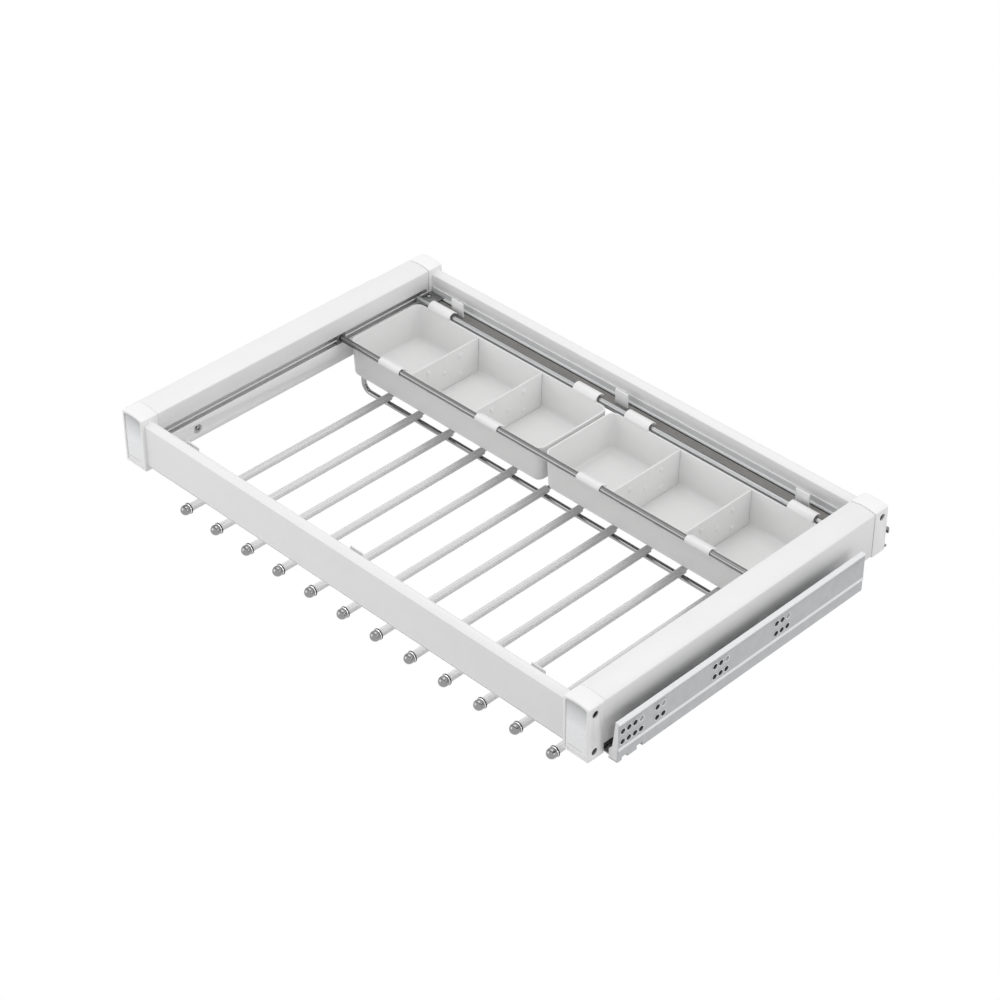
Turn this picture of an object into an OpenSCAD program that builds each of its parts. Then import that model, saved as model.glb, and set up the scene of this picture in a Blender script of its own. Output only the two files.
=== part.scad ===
// Pull out trouser rack for a wardrobe: a frame of extruded rails on two full extension
// runners, twelve hanging bars under it and two lift-out trays at the back.
// Lengths are in millimetres. Inside the modules Y counts rearwards from the front face of
// the corner blocks and Z from the top edge of the side rails; placed() moves all of it so
// that the origin is the centre of the rack's overall box.

/* [Frame] */
// Width of the frame over its side rails
frame_w = 755; // [560:5:1000]
// Depth of the frame from the front of the corner blocks to their back
frame_d = 489; // [440:1:560]
// Width of a side rail
rail_w = 36.4; // [34:0.2:44]
// Rise of the crowned top above the edge of a side rail
crown_h = 2.3; // [1:0.1:4]
// Height of the inner wall of a side rail
rail_in_h = 64.3; // [60:0.1:67]
// Height of the outer wall of a side rail
rail_out_h = 59; // [58:0.1:61]
// Wall of a side rail
rail_wall = 1.8; // [1.2:0.1:2.4]
// Depth of the web inside a side rail below its top edge
web_z = 56; // [55:0.1:57]
// Thickness of that web
web_t = 1.6; // [1.2:0.1:2]
// Depth of the tray groove's upper edge below the top
groove_top = 24.7; // [22:0.1:26]
// Depth of the tray groove's lower edge below the top
groove_bottom = 37.9; // [37:0.1:40]
// How deep the tray groove reaches into a side rail
groove_d = 5.8; // [5:0.1:7]
// Radius of the edges along the top of a side rail
rail_edge_r = 1.5; // [0.5:0.1:2.5]

/* [Cross rails] */
// Thickness of the front and rear rails
cross_t = 13.4; // [12:0.1:16]
// Step of the cross rails below the side rails' top edge
cross_drop = 4.7; // [2:0.1:8]
// Depth of the cross rails' lower edge
cross_bottom = 65; // [62:0.1:68]
// Setback of a cross rail's outer face from the blocks' outer face
cross_setback = 3.7; // [1:0.1:6]
// Radius of the cross rails' top edges
cross_r = 5; // [2:0.1:6]
// Wall of a cross rail
cross_wall = 1.6; // [1.2:0.1:2.2]
// Depth below the top where the cross rails' groove starts
cross_groove_top = 26.6; // [24:0.1:28]
// How deep the groove reaches into a cross rail
cross_groove_d = 5.5; // [4:0.1:6.5]
// Depth below the top of the fine line along a cross rail's outer face
line_z = 62.4; // [58:0.1:64]
// Height of that line
line_h = 0.9; // [0.5:0.1:1.5]
// Depth of that line
line_d = 0.4; // [0.2:0.1:0.8]

/* [Corner blocks] */
// Depth of a corner block, front to back
block_d = 24.6; // [20:0.1:32]
// Depth of a front block's lower edge
front_block_h = 72.2; // [70:0.1:76]
// Depth of a rear block's lower edge
rear_block_h = 61.8; // [58:0.1:62]
// Radius of the blocks' upright edges
block_r = 3; // [1:0.1:5]
// Width of the rim around a front block's plate
plate_rim = 2.6; // [2:0.1:5]
// Depth of the recess for the plate
recess_d = 2.2; // [1.5:0.1:4]
// Thickness of the front plate
plate_t = 1.4; // [0.8:0.1:2]
// Corner radius of the front plate
plate_r = 2; // [1:0.1:4]
// Clearance around the front plate
plate_gap = 0.2; // [0.1:0.05:0.4]
// Shadow joint between a rear block and its side rail
seam_w = 0.9; // [0.5:0.1:1.5]
// Depth of that shadow joint
seam_d = 0.8; // [0.4:0.1:1.2]

/* [Corner screws] */
// Radius of the corner screws' thread
bolt_r = 2; // [1.5:0.1:2.4]
// Radius of the corner screws' head
bolt_head_r = 3.6; // [3:0.1:3.8]
// Height of the corner screws' head
bolt_head_h = 3; // [2:0.1:4]
// Length of a corner screw under its head
bolt_len = 26; // [22:0.5:32]
// Radius of the access holes in the blocks' outer sides
access_r = 4.4; // [3.9:0.1:4.6]
// Depth of the upper access hole below the top
access_top_z = 10.3; // [10:0.1:12]
// Depth of the lower access hole below the top
access_low_z = 61.4; // [60.8:0.1:61.4]
// Thickness of a screw port's wall in the rails
port_wall = 1.5; // [1:0.1:2]
// Depth of the upper screw port of a side rail below the top
port_top_z = 22; // [20:0.1:26]
// Depth of the lower screw port of a side rail below the top
port_low_z = 48; // [44:0.1:50]
// Slack between a screw and its hole
bolt_gap = 0.05; // [0.03:0.01:0.1]

/* [Tray carriers] */
// Radius of the bar that carries the trays' front hooks
bar_r = 4; // [3:0.1:4.4]
// Distance from that bar to the bead of the tray rail behind it
tray_span = 129.5; // [120:0.1:140]
// Depth of that bar's axis below the top
bar_z = 30.5; // [30:0.1:32]
// Width of the end plugs that hold the bar in the grooves
plug_w = 14; // [10:0.5:20]
// Distance of the tray rail's bead from the frame's rear face
bead_back = 45.2; // [44:0.1:48]
// Radius of the bead
bead_r = 4; // [3:0.1:4.4]
// Depth of the bead's axis below the top
bead_z = 31; // [30.5:0.1:32]
// Depth of the tray rail's flat top below the top
tray_rail_z = 34; // [33.5:0.1:34.5]
// How far the tray rail reaches into the rear rail's groove
tray_rail_in = 3.4; // [2:0.1:5]
// Gap between the tray rail's ends and the side rails
tray_rail_gap = 1.5; // [0.5:0.1:3]
// Width of the slot along the tray rail
slot_w = 2; // [1:0.1:3]
// Distance of that slot from the bead's axis
slot_y = 21.2; // [18:0.1:23]
// Depth of the slot
slot_d = 2; // [1:0.1:3]
// Width of a corner bracket
bracket_w = 23.2; // [18:0.1:23.4]
// Length of a corner bracket, front to back
bracket_l = 20; // [18:0.5:21]
// Thickness of a corner bracket
bracket_t = 2.4; // [1.6:0.1:3]
// Thickness of the tray rail's upright edge along the rear rail
edge_t = 1.2; // [1:0.1:1.6]
// Depth of the top of that edge below the top
edge_top = 24.8; // [24:0.1:30]

/* [Trays] */
// Gap between the two trays
tray_gap = 8.6; // [4:0.2:20]
// Gap between a tray and the side rail
tray_side_gap = 8.6; // [8:0.2:20]
// Distance of the trays' front wall from the bar's axis
tray_front = 7.5; // [7.2:0.1:9]
// Distance of the trays' rear wall from the bead's axis
tray_back = 6.2; // [6:0.1:8]
// Depth of the trays' rim below the top
rim_z = 31; // [30.5:0.1:32]
// Height of a tray
tray_h = 49; // [40:0.5:60]
// Wall of a tray
tray_t = 2; // [1.6:0.1:2.4]
// Corner radius of a tray at its rim
tray_r = 12; // [8:0.5:16]
// Radius between a tray's walls and floor
floor_r = 6; // [4:0.5:8]
// How much narrower a tray is at its floor, on each side
tray_draft = 1.7; // [1:0.1:3]
// Thickness of a divider
divider_t = 2; // [1.4:0.1:3]
// Clearance around a divider
divider_gap = 0.3; // [0.2:0.05:0.5]
// Radius of the raised buttons on a divider
button_r = 2.8; // [1.5:0.1:4]
// Height of those buttons
button_h = 0.9; // [0.5:0.1:1.5]

/* [Tray hooks] */
// Width of a front hook
front_hook_w = 36.3; // [30:0.1:60]
// Wall of a front hook
front_hook_t = 1.3; // [1:0.1:1.8]
// Width of a rear hook
rear_hook_w = 38.3; // [30:0.1:60]
// Outer radius of a rear hook
rear_hook_r = 8.2; // [8:0.1:9.4]
// Wall of a rear hook
rear_hook_t = 2.5; // [1.5:0.1:2.5]
// Clearance between a hook and what it hangs on
hook_gap = 0.2; // [0.1:0.05:0.3]
// Depth of the hooks' tongues down the tray's walls
tongue_h = 11; // [6:0.5:16]
// Thickness of those tongues
tongue_t = 1.6; // [1:0.1:1.6]

/* [Clips] */
// Width of a clip
clip_w = 20; // [14:0.5:26]
// Thickness of a clip
clip_t = 1.8; // [1.2:0.1:2.4]
// Depth of a clip's upper edge below the top
clip_top = 14.3; // [12:0.1:16]
// Distance of the outer clips' middle from the side rails
clip_side = 60.6; // [30:0.1:90]
// Distance of the rear clips from the bead's axis
rear_clip_y = 12.4; // [11.5:0.1:14]
// Distance of the front clips from the front rail's inner face
front_clip_y = 8.4; // [6:0.1:10]

/* [Trouser bars] */
// Number of trouser bars
bars = 12; // [4:1:12]
// Distance of the outermost bars' axes from the side rails
bar_side = 38.05; // [30:0.05:60]
// Depth of the bars' axes below the top
bars_z = 121.5; // [110:0.5:140]
// Radius of the soft sleeve on a bar
sleeve_r = 5; // [4.5:0.1:6]
// Radius of the rod in the sleeve
rod_r = 3; // [2:0.1:3.2]
// Distance of the sleeves' front end from the frame's front face
sleeve_front = 31; // [29:0.5:34]
// How far the sleeves reach past the front cross wire's axis
sleeve_over = 3.3; // [2:0.1:10]
// Radius of the ball at a bar's front end
ball_r = 6.5; // [5:0.1:8]
// Radius of the collar behind the ball
collar_r = 7; // [6:0.1:8]
// Length of that collar
collar_len = 2.2; // [1.5:0.1:2.5]
// How deep a rod reaches into its ball
ball_bore = 7; // [5:0.1:8]

/* [Cross wires] */
// Radius of the cross wires
wire_r = 3.5; // [2.5:0.1:3.5]
// Distance from the front cross wire to the rear one
wire_span = 84.3; // [60:0.1:120]
// Distance of the rear cross wire from the frame's rear face
rear_wire_back = 50; // [44:0.5:70]
// How far the rods reach past the rear cross wire
rod_over = 6; // [4:0.5:12]
// Inner radius of the cross wires' bends
wire_bend_r = 9; // [6:0.5:14]
// Distance of a wire's leg from the inner face of the side rail
leg_in = 5.7; // [5.4:0.1:5.9]
// Length of the plate on top of a leg
foot_l = 30; // [26:1:40]
// Thickness of that plate
foot_t = 2; // [1.5:0.1:2.5]
// Clearance where bars and wires cross
cross_gap = 0.05; // [0.02:0.01:0.1]

/* [Small screws] */
// Radius of the small screws' thread
screw_r = 1.7; // [1.3:0.1:1.8]
// Radius of the small screws' head
screw_head_r = 3.4; // [3:0.1:3.6]
// Height of the small screws' head
screw_head_h = 1.8; // [1:0.1:2]
// Length of a small screw under its head
screw_len = 6; // [5:0.5:8]
// Distance of the screw in a side rail's inner wall from the front
wall_screw_y = 81.6; // [70:0.1:100]
// Depth of that screw below the top
wall_screw_z = 50.2; // [46:0.1:51]

/* [Runners] */
// Distance of a runner's front end from the frame's front face
runner_y = 22.3; // [20:0.1:24]
// Distance of a runner's rear end from the frame's rear face
runner_end = 66.7; // [30:0.1:120]
// Distance from the side rail to the cabinet wall
wall_gap = 22.5; // [20:0.1:26]
// Thickness of the runners' sheet steel
steel_t = 1.4; // [1.2:0.1:1.5]
// Depth of a runner's upper edge below the top
runner_top = 18.8; // [16:0.1:20]
// Width of the flange along a runner's upper edge
flange_w = 5.9; // [5:0.1:12]
// Distance between the fixed profile's inner edge and the wire's leg
leg_gap = 1.2; // [1:0.1:1.6]
// Height of the lip along the fixed profile's inner edge
lip_h = 7.6; // [6:0.1:8]
// Depth of the fold in the fixed profile below the top
fold_z = 56; // [52:0.1:58]
// Setback of the fixed profile below the fold
fold_d = 1; // [0.5:0.1:1.2]
// Distance from the fixed profile's inner edge to the profile under the side rail
drawer_side = 2.9; // [2.9:0.1:4]
// Height of that profile
drawer_h = 8.9; // [8:0.1:9]
// Clearance beside that profile
drawer_gap = 0.3; // [0.2:0.05:0.5]
// Step from the profile under the side rail in to the middle profile
middle_side = 3; // [2.8:0.1:4]
// Height of the middle profile
middle_h = 6; // [5:0.1:6.2]
// Height of the space between the outer profile and the middle one
ball_space = 3.5; // [3.2:0.1:3.6]
// Clearance of the rollers above and below
roll_gap = 0.1; // [0.05:0.01:0.15]
// Clearance around the roller cages
cage_gap = 0.4; // [0.3:0.05:0.6]
// Distance from roller to roller in a cage
roller_pitch = 22.5; // [18:0.5:25]
// Number of rollers in a cage
cage_rollers = 4; // [2:1:6]
// Length of the plastic cap on a runner's front end
cap_l = 10; // [6:0.5:16]
// Width of that cap
cap_w = 14; // [12:0.5:20]
// Height of that cap's block
cap_h = 13.2; // [12:0.1:15]
// Width of the slanting shoulder above that block
cap_shoulder = 4.4; // [2:0.1:6]
// Thickness of the cap's plate above that block
cap_t = 2.4; // [1.6:0.1:2.8]

/* [Runner holes] */
// Radius of the screw holes in a runner
hole_r = 3.1; // [2.5:0.1:3.3]
// Depth of the upper row of holes below the top
hole_top_z = 31; // [29:0.1:33]
// Distance between the two rows of holes
hole_rows = 14.1; // [12:0.1:15]
// Distance from hole to hole in a row
hole_pitch = 9.4; // [9:0.1:10]
// Distance of the first group's first hole from the runner's front end
group_1 = 6.1; // [5:0.1:8]
// Distance of the second group from the runner's front end
group_2 = 58.9; // [50:0.1:62]
// Distance of the third group from the runner's front end
group_3 = 149.4; // [130:0.1:170]
// Distance of the fourth group from the runner's front end
group_4 = 249.8; // [230:0.1:270]
// Width of a notch in a runner's lower edge
notch_w = 9; // [4:0.1:12]
// Height of a notch
notch_h = 5.2; // [2:0.1:6]
// Distance of the first notch from the runner's front end
notch_y = 6.4; // [5:0.1:14]
// Distance from notch to notch
notch_pitch = 22.9; // [14:0.1:24]

/* [Rear hooks] */
// Width of a rear hook plate
latch_w = 10; // [8:0.5:12]
// Height of a rear hook plate
latch_h = 24; // [20:0.5:26]
// Depth of a rear hook plate's upper edge below the top
latch_top = 35; // [32:0.5:36]
// Thickness of a rear hook plate
latch_t = 1.5; // [1:0.1:2]
// How far the hook stands out behind the frame
latch_out = 8; // [6:0.5:10]
// Length of the hook's turned-down end
latch_lip = 6; // [4:0.5:8]

/* [Hidden] */

// Colours
paint = "whitesmoke";
block_white = "gainsboro";
silver = "silver";
chrome = "lightgray";
zinc = "darkgray";
dark_metal = "dimgray";
tray_grey = "lightgrey";
white = "white";

// Faces of a full circle, of the circles inside a hull, and of the rails' wide crown
round_fn = 48;
hull_fn = 32;
crown_fn = 384;
// How far a cut runs past the face that it opens
over = 1;

// Places across the frame, for the right-hand side
rail_out_x = frame_w / 2;
rail_in_x = rail_out_x - rail_w;
rail_mid_x = rail_out_x - rail_w / 2;
crown_r = (pow(rail_w / 2, 2) + pow(crown_h, 2)) / (2 * crown_h);
wall_x = rail_out_x + wall_gap;
inner_w = rail_in_x * 2;
clip_x = rail_in_x - clip_side;
bar_pitch = (inner_w - 2 * bar_side) / (bars - 1);

// Places along the frame
rail_front = block_d;
rail_back = frame_d - block_d;
rail_l = rail_back - rail_front;
cross_front_y = cross_setback;
cross_rear_y = frame_d - cross_setback;
rear_inner_y = cross_rear_y - cross_t;
front_inner_y = cross_front_y + cross_t;
bead_y = frame_d - bead_back;
bar_y = bead_y - tray_span;
rear_wire_y = frame_d - rear_wire_back;
front_wire_y = rear_wire_y - wire_span;

// Screw ports and access holes
port_hole_r = bolt_r + bolt_gap;
port_r = port_hole_r + port_wall;
port_x = rail_out_x - rail_wall - port_r + port_wall;
cross_port_y = cross_t / 2;
bolt_seat = bolt_len / 2;
screw_hole_r = screw_r + bolt_gap;

// Tray rail
bracket_gap = 1.4;
tray_rail_t = groove_bottom - tray_rail_z;
tray_rail_back = rear_inner_y + tray_rail_in;
tray_rail_l = inner_w - 2 * tray_rail_gap;
bracket_y = bead_y + bead_r + bracket_gap;
bracket_screw_x = rail_in_x - tray_rail_gap - screw_head_r - bracket_gap;
bracket_screw_y = bracket_y + bracket_l / 2;

// Trays
tray_x0 = tray_gap / 2;
tray_x1 = rail_in_x - tray_side_gap;
tray_w = tray_x1 - tray_x0;
tray_y0 = bar_y + tray_front;
tray_y1 = bead_y - tray_back;
tray_d = tray_y1 - tray_y0;
divider_shares = [1 / 3, 2 / 3];
front_hook_shares = [0.24, 0.751];
rear_hook_shares = [0.1155, 0.8824];
button_shares = [[0.255, 0.735], [0.71, 0.735], [0.48, 0.48], [0.255, 0.225], [0.71, 0.225]];

// Cross wires
leg_x = rail_in_x + leg_in;
bend_r = wire_bend_r + wire_r;
front_wire_z = bars_z + sleeve_r + wire_r + cross_gap;
rear_wire_z = bars_z + rod_r + wire_r + cross_gap;
web_low = web_z + web_t;
foot_screw_y = foot_l - wire_r - foot_t - screw_head_r - wire_r;

// Trouser bars
knob_share = 0.66;
knob_y = sleeve_front - collar_len - ball_r * knob_share;
rod_front = sleeve_front - ball_bore;
rod_back = rear_wire_y + rod_over;
sleeve_len = front_wire_y + sleeve_over - sleeve_front;

// Runners
runner_low = front_block_h;
base_top = runner_low - steel_t;
base_in_x = leg_x + wire_r + leg_gap;
base_front = block_d + steel_t;
drawer_x1 = rail_out_x - rail_wall - drawer_gap;
drawer_x0 = base_in_x + drawer_side;
drawer_w = drawer_x1 - drawer_x0;
middle_w = drawer_w - 2 * middle_side;
drawer_mid_x = (drawer_x0 + drawer_x1) / 2;
drawer_under = web_low + steel_t;
middle_top = drawer_under + ball_space;
middle_under = middle_top + steel_t;
runner_back = frame_d - runner_end;
runner_l = runner_back - runner_y;
drawer_front = block_d + drawer_gap;
drawer_l = runner_back - drawer_front;
middle_front = drawer_front + steel_t;
middle_back = runner_back - steel_t;
lower_space = base_top - middle_under;
rivet_shares = [0.1, 0.5, 0.9];
rivet_r = 1.8;
rivet_head_r = rivet_r + steel_t;
cage_l = cage_rollers * roller_pitch;
lower_cage_w = middle_w - 2 * steel_t - 2 * cage_gap;
upper_cage_w = drawer_w - 2 * steel_t - 2 * cage_gap;

// Rear hooks
latch_x = rail_out_x - latch_w - rail_edge_r;
latch_screw_z = latch_top + latch_h - latch_w / 2;

// Overall box
overall_d = frame_d + latch_out;
lowest_z = front_wire_z + wire_r;
centre_z = (crown_h - lowest_z) / 2;

module placed() {
    translate([0, -overall_d / 2, -centre_z]) children();
}

module left() {
    mirror([1, 0, 0]) children();
}

module both() {
    children();
    left() children();
}

// Extrudes an outline drawn in X and Z along Y
module along_y(start, length) {
    translate([0, start + length, 0]) rotate([90, 0, 0]) linear_extrude(length) children();
}

// Extrudes an outline drawn in Y and Z along X
module along_x(start, length) {
    translate([start, 0, 0]) rotate([90, 0, 90]) linear_extrude(length) children();
}

// A round bar along X, Y or Z
module rod_x(start, length, r) {
    translate([start, 0, 0]) rotate([0, 90, 0]) cylinder(h = length, r = r, $fn = round_fn);
}

module rod_y(start, length, r) {
    translate([0, start, 0]) rotate([-90, 0, 0]) cylinder(h = length, r = r, $fn = round_fn);
}

module rod_z(start, length, r) {
    translate([0, 0, start]) cylinder(h = length, r = r, $fn = round_fn);
}

// An upright rectangle whose four corners are round
module round_rect(w, h, r) {
    translate([r, 0]) square([w - 2 * r, h]);
    translate([0, r]) square([w, h - 2 * r]);
    for (x = [r, w - r], y = [r, h - r]) {
        translate([x, y]) circle(r = r, $fn = round_fn);
    }
}

// Outer outline of a side rail or block, in X and Z, down to a given depth
module crown_outline(low, r) {
    intersection() {
        translate([rail_mid_x, crown_h - crown_r]) circle(r = crown_r, $fn = crown_fn);
        union() {
            translate([rail_in_x, -low]) square([rail_w, low - r]);
            translate([rail_in_x + r, -low]) square([rail_w - 2 * r, low + crown_h]);
            for (x = [rail_in_x + r, rail_out_x - r]) {
                translate([x, -r]) circle(r = r, $fn = round_fn);
            }
        }
    }
}

// Section of a side rail: crowned box above the web, open channel below it
module side_rail_section() {
    pocket_h = groove_bottom - groove_top;
    cavity_w = rail_w - 2 * rail_wall;
    difference() {
        crown_outline(rail_in_h, rail_edge_r);
        difference() {
            intersection() {
                translate([rail_mid_x, crown_h - crown_r]) {
                    circle(r = crown_r - rail_wall, $fn = crown_fn);
                }
                translate([rail_in_x + rail_wall, -web_z]) square([cavity_w, web_z + crown_h]);
            }
            translate([rail_in_x, -groove_bottom - rail_wall]) {
                square([groove_d + rail_wall, pocket_h + 2 * rail_wall]);
            }
            for (z = [port_top_z, port_low_z]) {
                translate([port_x, -z]) circle(r = port_r, $fn = round_fn);
            }
        }
        for (z = [port_top_z, port_low_z]) {
            translate([port_x, -z]) circle(r = port_hole_r, $fn = round_fn);
        }
        translate([rail_in_x - over, -groove_bottom]) square([groove_d + over, pocket_h]);
        translate([rail_in_x + rail_wall, -rail_in_h - over]) {
            square([cavity_w, rail_in_h - web_low + over]);
        }
        translate([rail_out_x - rail_wall - over, -rail_in_h - over]) {
            square([rail_wall + 2 * over, rail_in_h - rail_out_h + over]);
        }
    }
}

module side_rail() {
    difference() {
        along_y(rail_front, rail_l) side_rail_section();
        translate([0, wall_screw_y, -wall_screw_z]) {
            rod_x(rail_in_x - over, rail_wall + 2 * over, screw_hole_r);
        }
        for (y = [front_wire_y, rear_wire_y]) {
            translate([leg_x, y - foot_screw_y, 0]) {
                rod_z(-web_low - over, web_t + 2 * over, screw_hole_r);
            }
        }
        for (share = rivet_shares) {
            translate([drawer_mid_x, drawer_front + share * drawer_l, 0]) {
                rod_z(-web_low - over, web_t + 2 * over, rivet_r);
            }
        }
    }
}

module side_rail_left() {
    color(paint) placed() left() side_rail();
}

module side_rail_right() {
    color(paint) placed() side_rail();
}

// Section of a front or rear rail, in Y and Z, with its outer face at Y = 0
module cross_section() {
    h = cross_bottom - cross_drop;
    pocket_h = groove_bottom - cross_groove_top;
    difference() {
        union() {
            translate([0, -cross_bottom]) square([cross_t, h - cross_r]);
            translate([cross_r, -cross_bottom]) square([cross_t - 2 * cross_r, h]);
            for (y = [cross_r, cross_t - cross_r]) {
                translate([y, -cross_drop - cross_r]) circle(r = cross_r, $fn = round_fn);
            }
        }
        difference() {
            translate([cross_wall, -cross_bottom + cross_wall]) {
                square([cross_t - 2 * cross_wall, h - 2 * cross_wall - cross_wall]);
            }
            translate([cross_t - cross_groove_d - cross_wall, -groove_bottom - cross_wall]) {
                square([cross_groove_d + cross_wall, pocket_h + 2 * cross_wall]);
            }
            for (z = [access_top_z, access_low_z]) {
                translate([cross_port_y, -z]) circle(r = port_r, $fn = round_fn);
            }
            translate([0, -cross_drop - 2 * cross_r]) square([cross_t, 2 * cross_r]);
        }
        for (z = [access_top_z, access_low_z]) {
            translate([cross_port_y, -z]) circle(r = port_hole_r, $fn = round_fn);
        }
        translate([cross_t - cross_groove_d, -groove_bottom]) square([cross_groove_d + over, pocket_h]);
        translate([-over, -line_z]) square([line_d + over, line_h]);
    }
}

module front_rail() {
    color(paint) placed() translate([0, cross_front_y, 0]) along_x(-rail_in_x, inner_w) cross_section();
}

module rear_rail() {
    color(paint) placed() translate([0, cross_rear_y, 0]) mirror([0, 1, 0]) {
        along_x(-rail_in_x, inner_w) cross_section();
    }
}

// The plan outline of a block, with round corners at its outer end
module block_plan() {
    translate([rail_in_x, block_r]) square([rail_w, block_d - block_r]);
    translate([rail_in_x + block_r, 0]) square([rail_w - 2 * block_r, block_d]);
    for (x = [rail_in_x + block_r, rail_out_x - block_r]) {
        translate([x, block_r]) circle(r = block_r, $fn = round_fn);
    }
}

// A corner block with its outer end at Y = 0 and its screw holes
module block(low) {
    difference() {
        intersection() {
            along_y(0, block_d) crown_outline(low, rail_edge_r);
            translate([0, 0, -low - over]) linear_extrude(low + crown_h + 2 * over) block_plan();
        }
        for (z = [port_top_z, port_low_z]) {
            translate([port_x, 0, -z]) {
                rod_y(-over, block_d + 2 * over, port_hole_r);
                rod_y(-over, recess_d + bolt_head_h + over, bolt_head_r + bolt_gap);
            }
        }
    }
}

// An access hole from a block's outer side, with the narrow way for the screw behind it
module access_hole(y, z) {
    translate([0, y, -z]) {
        rod_x(rail_in_x - over, rail_w, port_hole_r);
        rod_x(rail_in_x + bolt_seat, rail_w, access_r);
    }
}

module front_block() {
    difference() {
        block(front_block_h);
        translate([0, recess_d, 0]) mirror([0, 1, 0]) along_y(0, recess_d + over) plate_outline(0);
        for (z = [access_top_z, access_low_z]) {
            access_hole(cross_front_y + cross_port_y, z);
        }
    }
}

// Outline of the recess in a front block, or of the plate in it
module plate_outline(gap) {
    rim = plate_rim + gap;
    translate([rail_in_x + rim, -front_block_h + rim]) {
        round_rect(rail_w - 2 * rim, front_block_h - 2 * rim, plate_r);
    }
}

module front_plate() {
    along_y(recess_d - plate_t, plate_t) plate_outline(plate_gap);
}

module rear_block() {
    difference() {
        translate([0, frame_d, 0]) mirror([0, 1, 0]) block(rear_block_h);
        access_hole(cross_rear_y - cross_port_y, access_top_z);
        along_y(rail_back - over, seam_w + over) difference() {
            crown_outline(rear_block_h + over, rail_edge_r);
            translate([rail_in_x + seam_d, -rear_block_h - 2 * over]) {
                square([rail_w - 2 * seam_d, rear_block_h + 2 * over - seam_d]);
            }
        }
        translate([latch_x + latch_w / 2, 0, -latch_screw_z]) {
            rod_y(frame_d - screw_len - over, screw_len + 2 * over, screw_hole_r);
        }
    }
}

module front_block_left() {
    color(block_white) placed() left() front_block();
}

module front_block_right() {
    color(block_white) placed() front_block();
}

module rear_block_left() {
    color(block_white) placed() left() rear_block();
}

module rear_block_right() {
    color(block_white) placed() rear_block();
}

module front_plate_left() {
    color(silver) placed() left() front_plate();
}

module front_plate_right() {
    color(silver) placed() front_plate();
}

// A corner screw along X, pointing inwards, with its seat at the given X
module corner_screw() {
    rod_x(-bolt_len, bolt_len, bolt_r);
    rod_x(0, bolt_head_h, bolt_head_r);
}

// The screws of one side: three across the frame and four along it
module side_screws() {
    seat_x = rail_in_x + bolt_seat;
    for (z = [access_top_z, access_low_z]) {
        translate([seat_x, cross_front_y + cross_port_y, -z]) corner_screw();
    }
    translate([seat_x, cross_rear_y - cross_port_y, -access_top_z]) corner_screw();
    head = recess_d + bolt_head_h;
    for (z = [port_top_z, port_low_z]) {
        translate([port_x, head, -z]) rotate([0, 0, -90]) corner_screw();
        translate([port_x, frame_d - head, -z]) rotate([0, 0, 90]) corner_screw();
    }
}

module corner_screws() {
    color(zinc) placed() both() side_screws();
}

// A small screw along Z, pointing up, with its seat at Z = 0
module small_screw() {
    rod_z(0, screw_len, screw_r);
    rod_z(-screw_head_h, screw_head_h, screw_head_r);
}

module rail_screws() {
    color(zinc) placed() both() {
        translate([rail_in_x, wall_screw_y, -wall_screw_z]) rotate([0, 90, 0]) small_screw();
        for (y = [front_wire_y, rear_wire_y]) {
            translate([leg_x, y - foot_screw_y, -web_low - foot_t]) small_screw();
        }
        translate([bracket_screw_x, bracket_screw_y, -tray_rail_z + bracket_t]) {
            rotate([180, 0, 0]) small_screw();
        }
        translate([latch_x + latch_w / 2, frame_d + latch_t, -latch_screw_z]) {
            rotate([90, 0, 0]) small_screw();
        }
    }
}

// The ribbed rail behind the trays: a flat strip with a round bead in front and an upright edge behind
module tray_rail() {
    color(dark_metal) placed() difference() {
        along_x(-tray_rail_l / 2, tray_rail_l) {
            difference() {
                union() {
                    translate([bead_y, -groove_bottom]) square([tray_rail_back - bead_y, tray_rail_t]);
                    translate([rear_inner_y - plate_gap - edge_t, -groove_bottom]) {
                        square([edge_t, groove_bottom - edge_top]);
                    }
                }
                translate([bead_y + slot_y - slot_w / 2, -tray_rail_z - slot_d]) {
                    square([slot_w, slot_d + over]);
                }
            }
            translate([bead_y, -bead_z]) circle(r = bead_r, $fn = round_fn);
        }
        for (side = [-1, 1]) {
            translate([side * bracket_screw_x, bracket_screw_y, 0]) {
                rod_z(-groove_bottom - over, tray_rail_t + 2 * over, screw_hole_r);
            }
        }
    }
}

module tray_bar() {
    reach = rail_in_x + groove_d - over;
    color(chrome) placed() translate([0, bar_y, -bar_z]) rod_x(-reach, 2 * reach, bar_r);
}

module tray_bar_plugs() {
    color(dark_metal) placed() both() difference() {
        translate([rail_in_x, bar_y - plug_w / 2, -groove_bottom]) {
            cube([groove_d, plug_w, groove_bottom - groove_top]);
        }
        translate([0, bar_y, -bar_z]) rod_x(rail_in_x - over, groove_d, bar_r + bolt_gap);
    }
}

// A plate on the tray rail's end whose folded ear stands in the side rail's groove
module corner_bracket() {
    x0 = rail_in_x - bracket_w;
    x1 = rail_in_x + groove_d - bracket_gap;
    ear_l = rail_back - bracket_y - plate_gap;
    difference() {
        union() {
            translate([x0, bracket_y, -tray_rail_z]) cube([bracket_w - plate_gap, bracket_l, bracket_t]);
            translate([x0, bracket_y, -tray_rail_z]) cube([x1 - x0, ear_l, bracket_t]);
            translate([x1 - bracket_t, bracket_y, -groove_bottom]) {
                cube([bracket_t, ear_l, tray_rail_t + bracket_t]);
            }
        }
        translate([bracket_screw_x, bracket_screw_y, 0]) {
            rod_z(-tray_rail_z - over, bracket_t + 2 * over, screw_hole_r);
        }
    }
}

module corner_bracket_left() {
    color(dark_metal) placed() left() corner_bracket();
}

module corner_bracket_right() {
    color(dark_metal) placed() corner_bracket();
}

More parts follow.
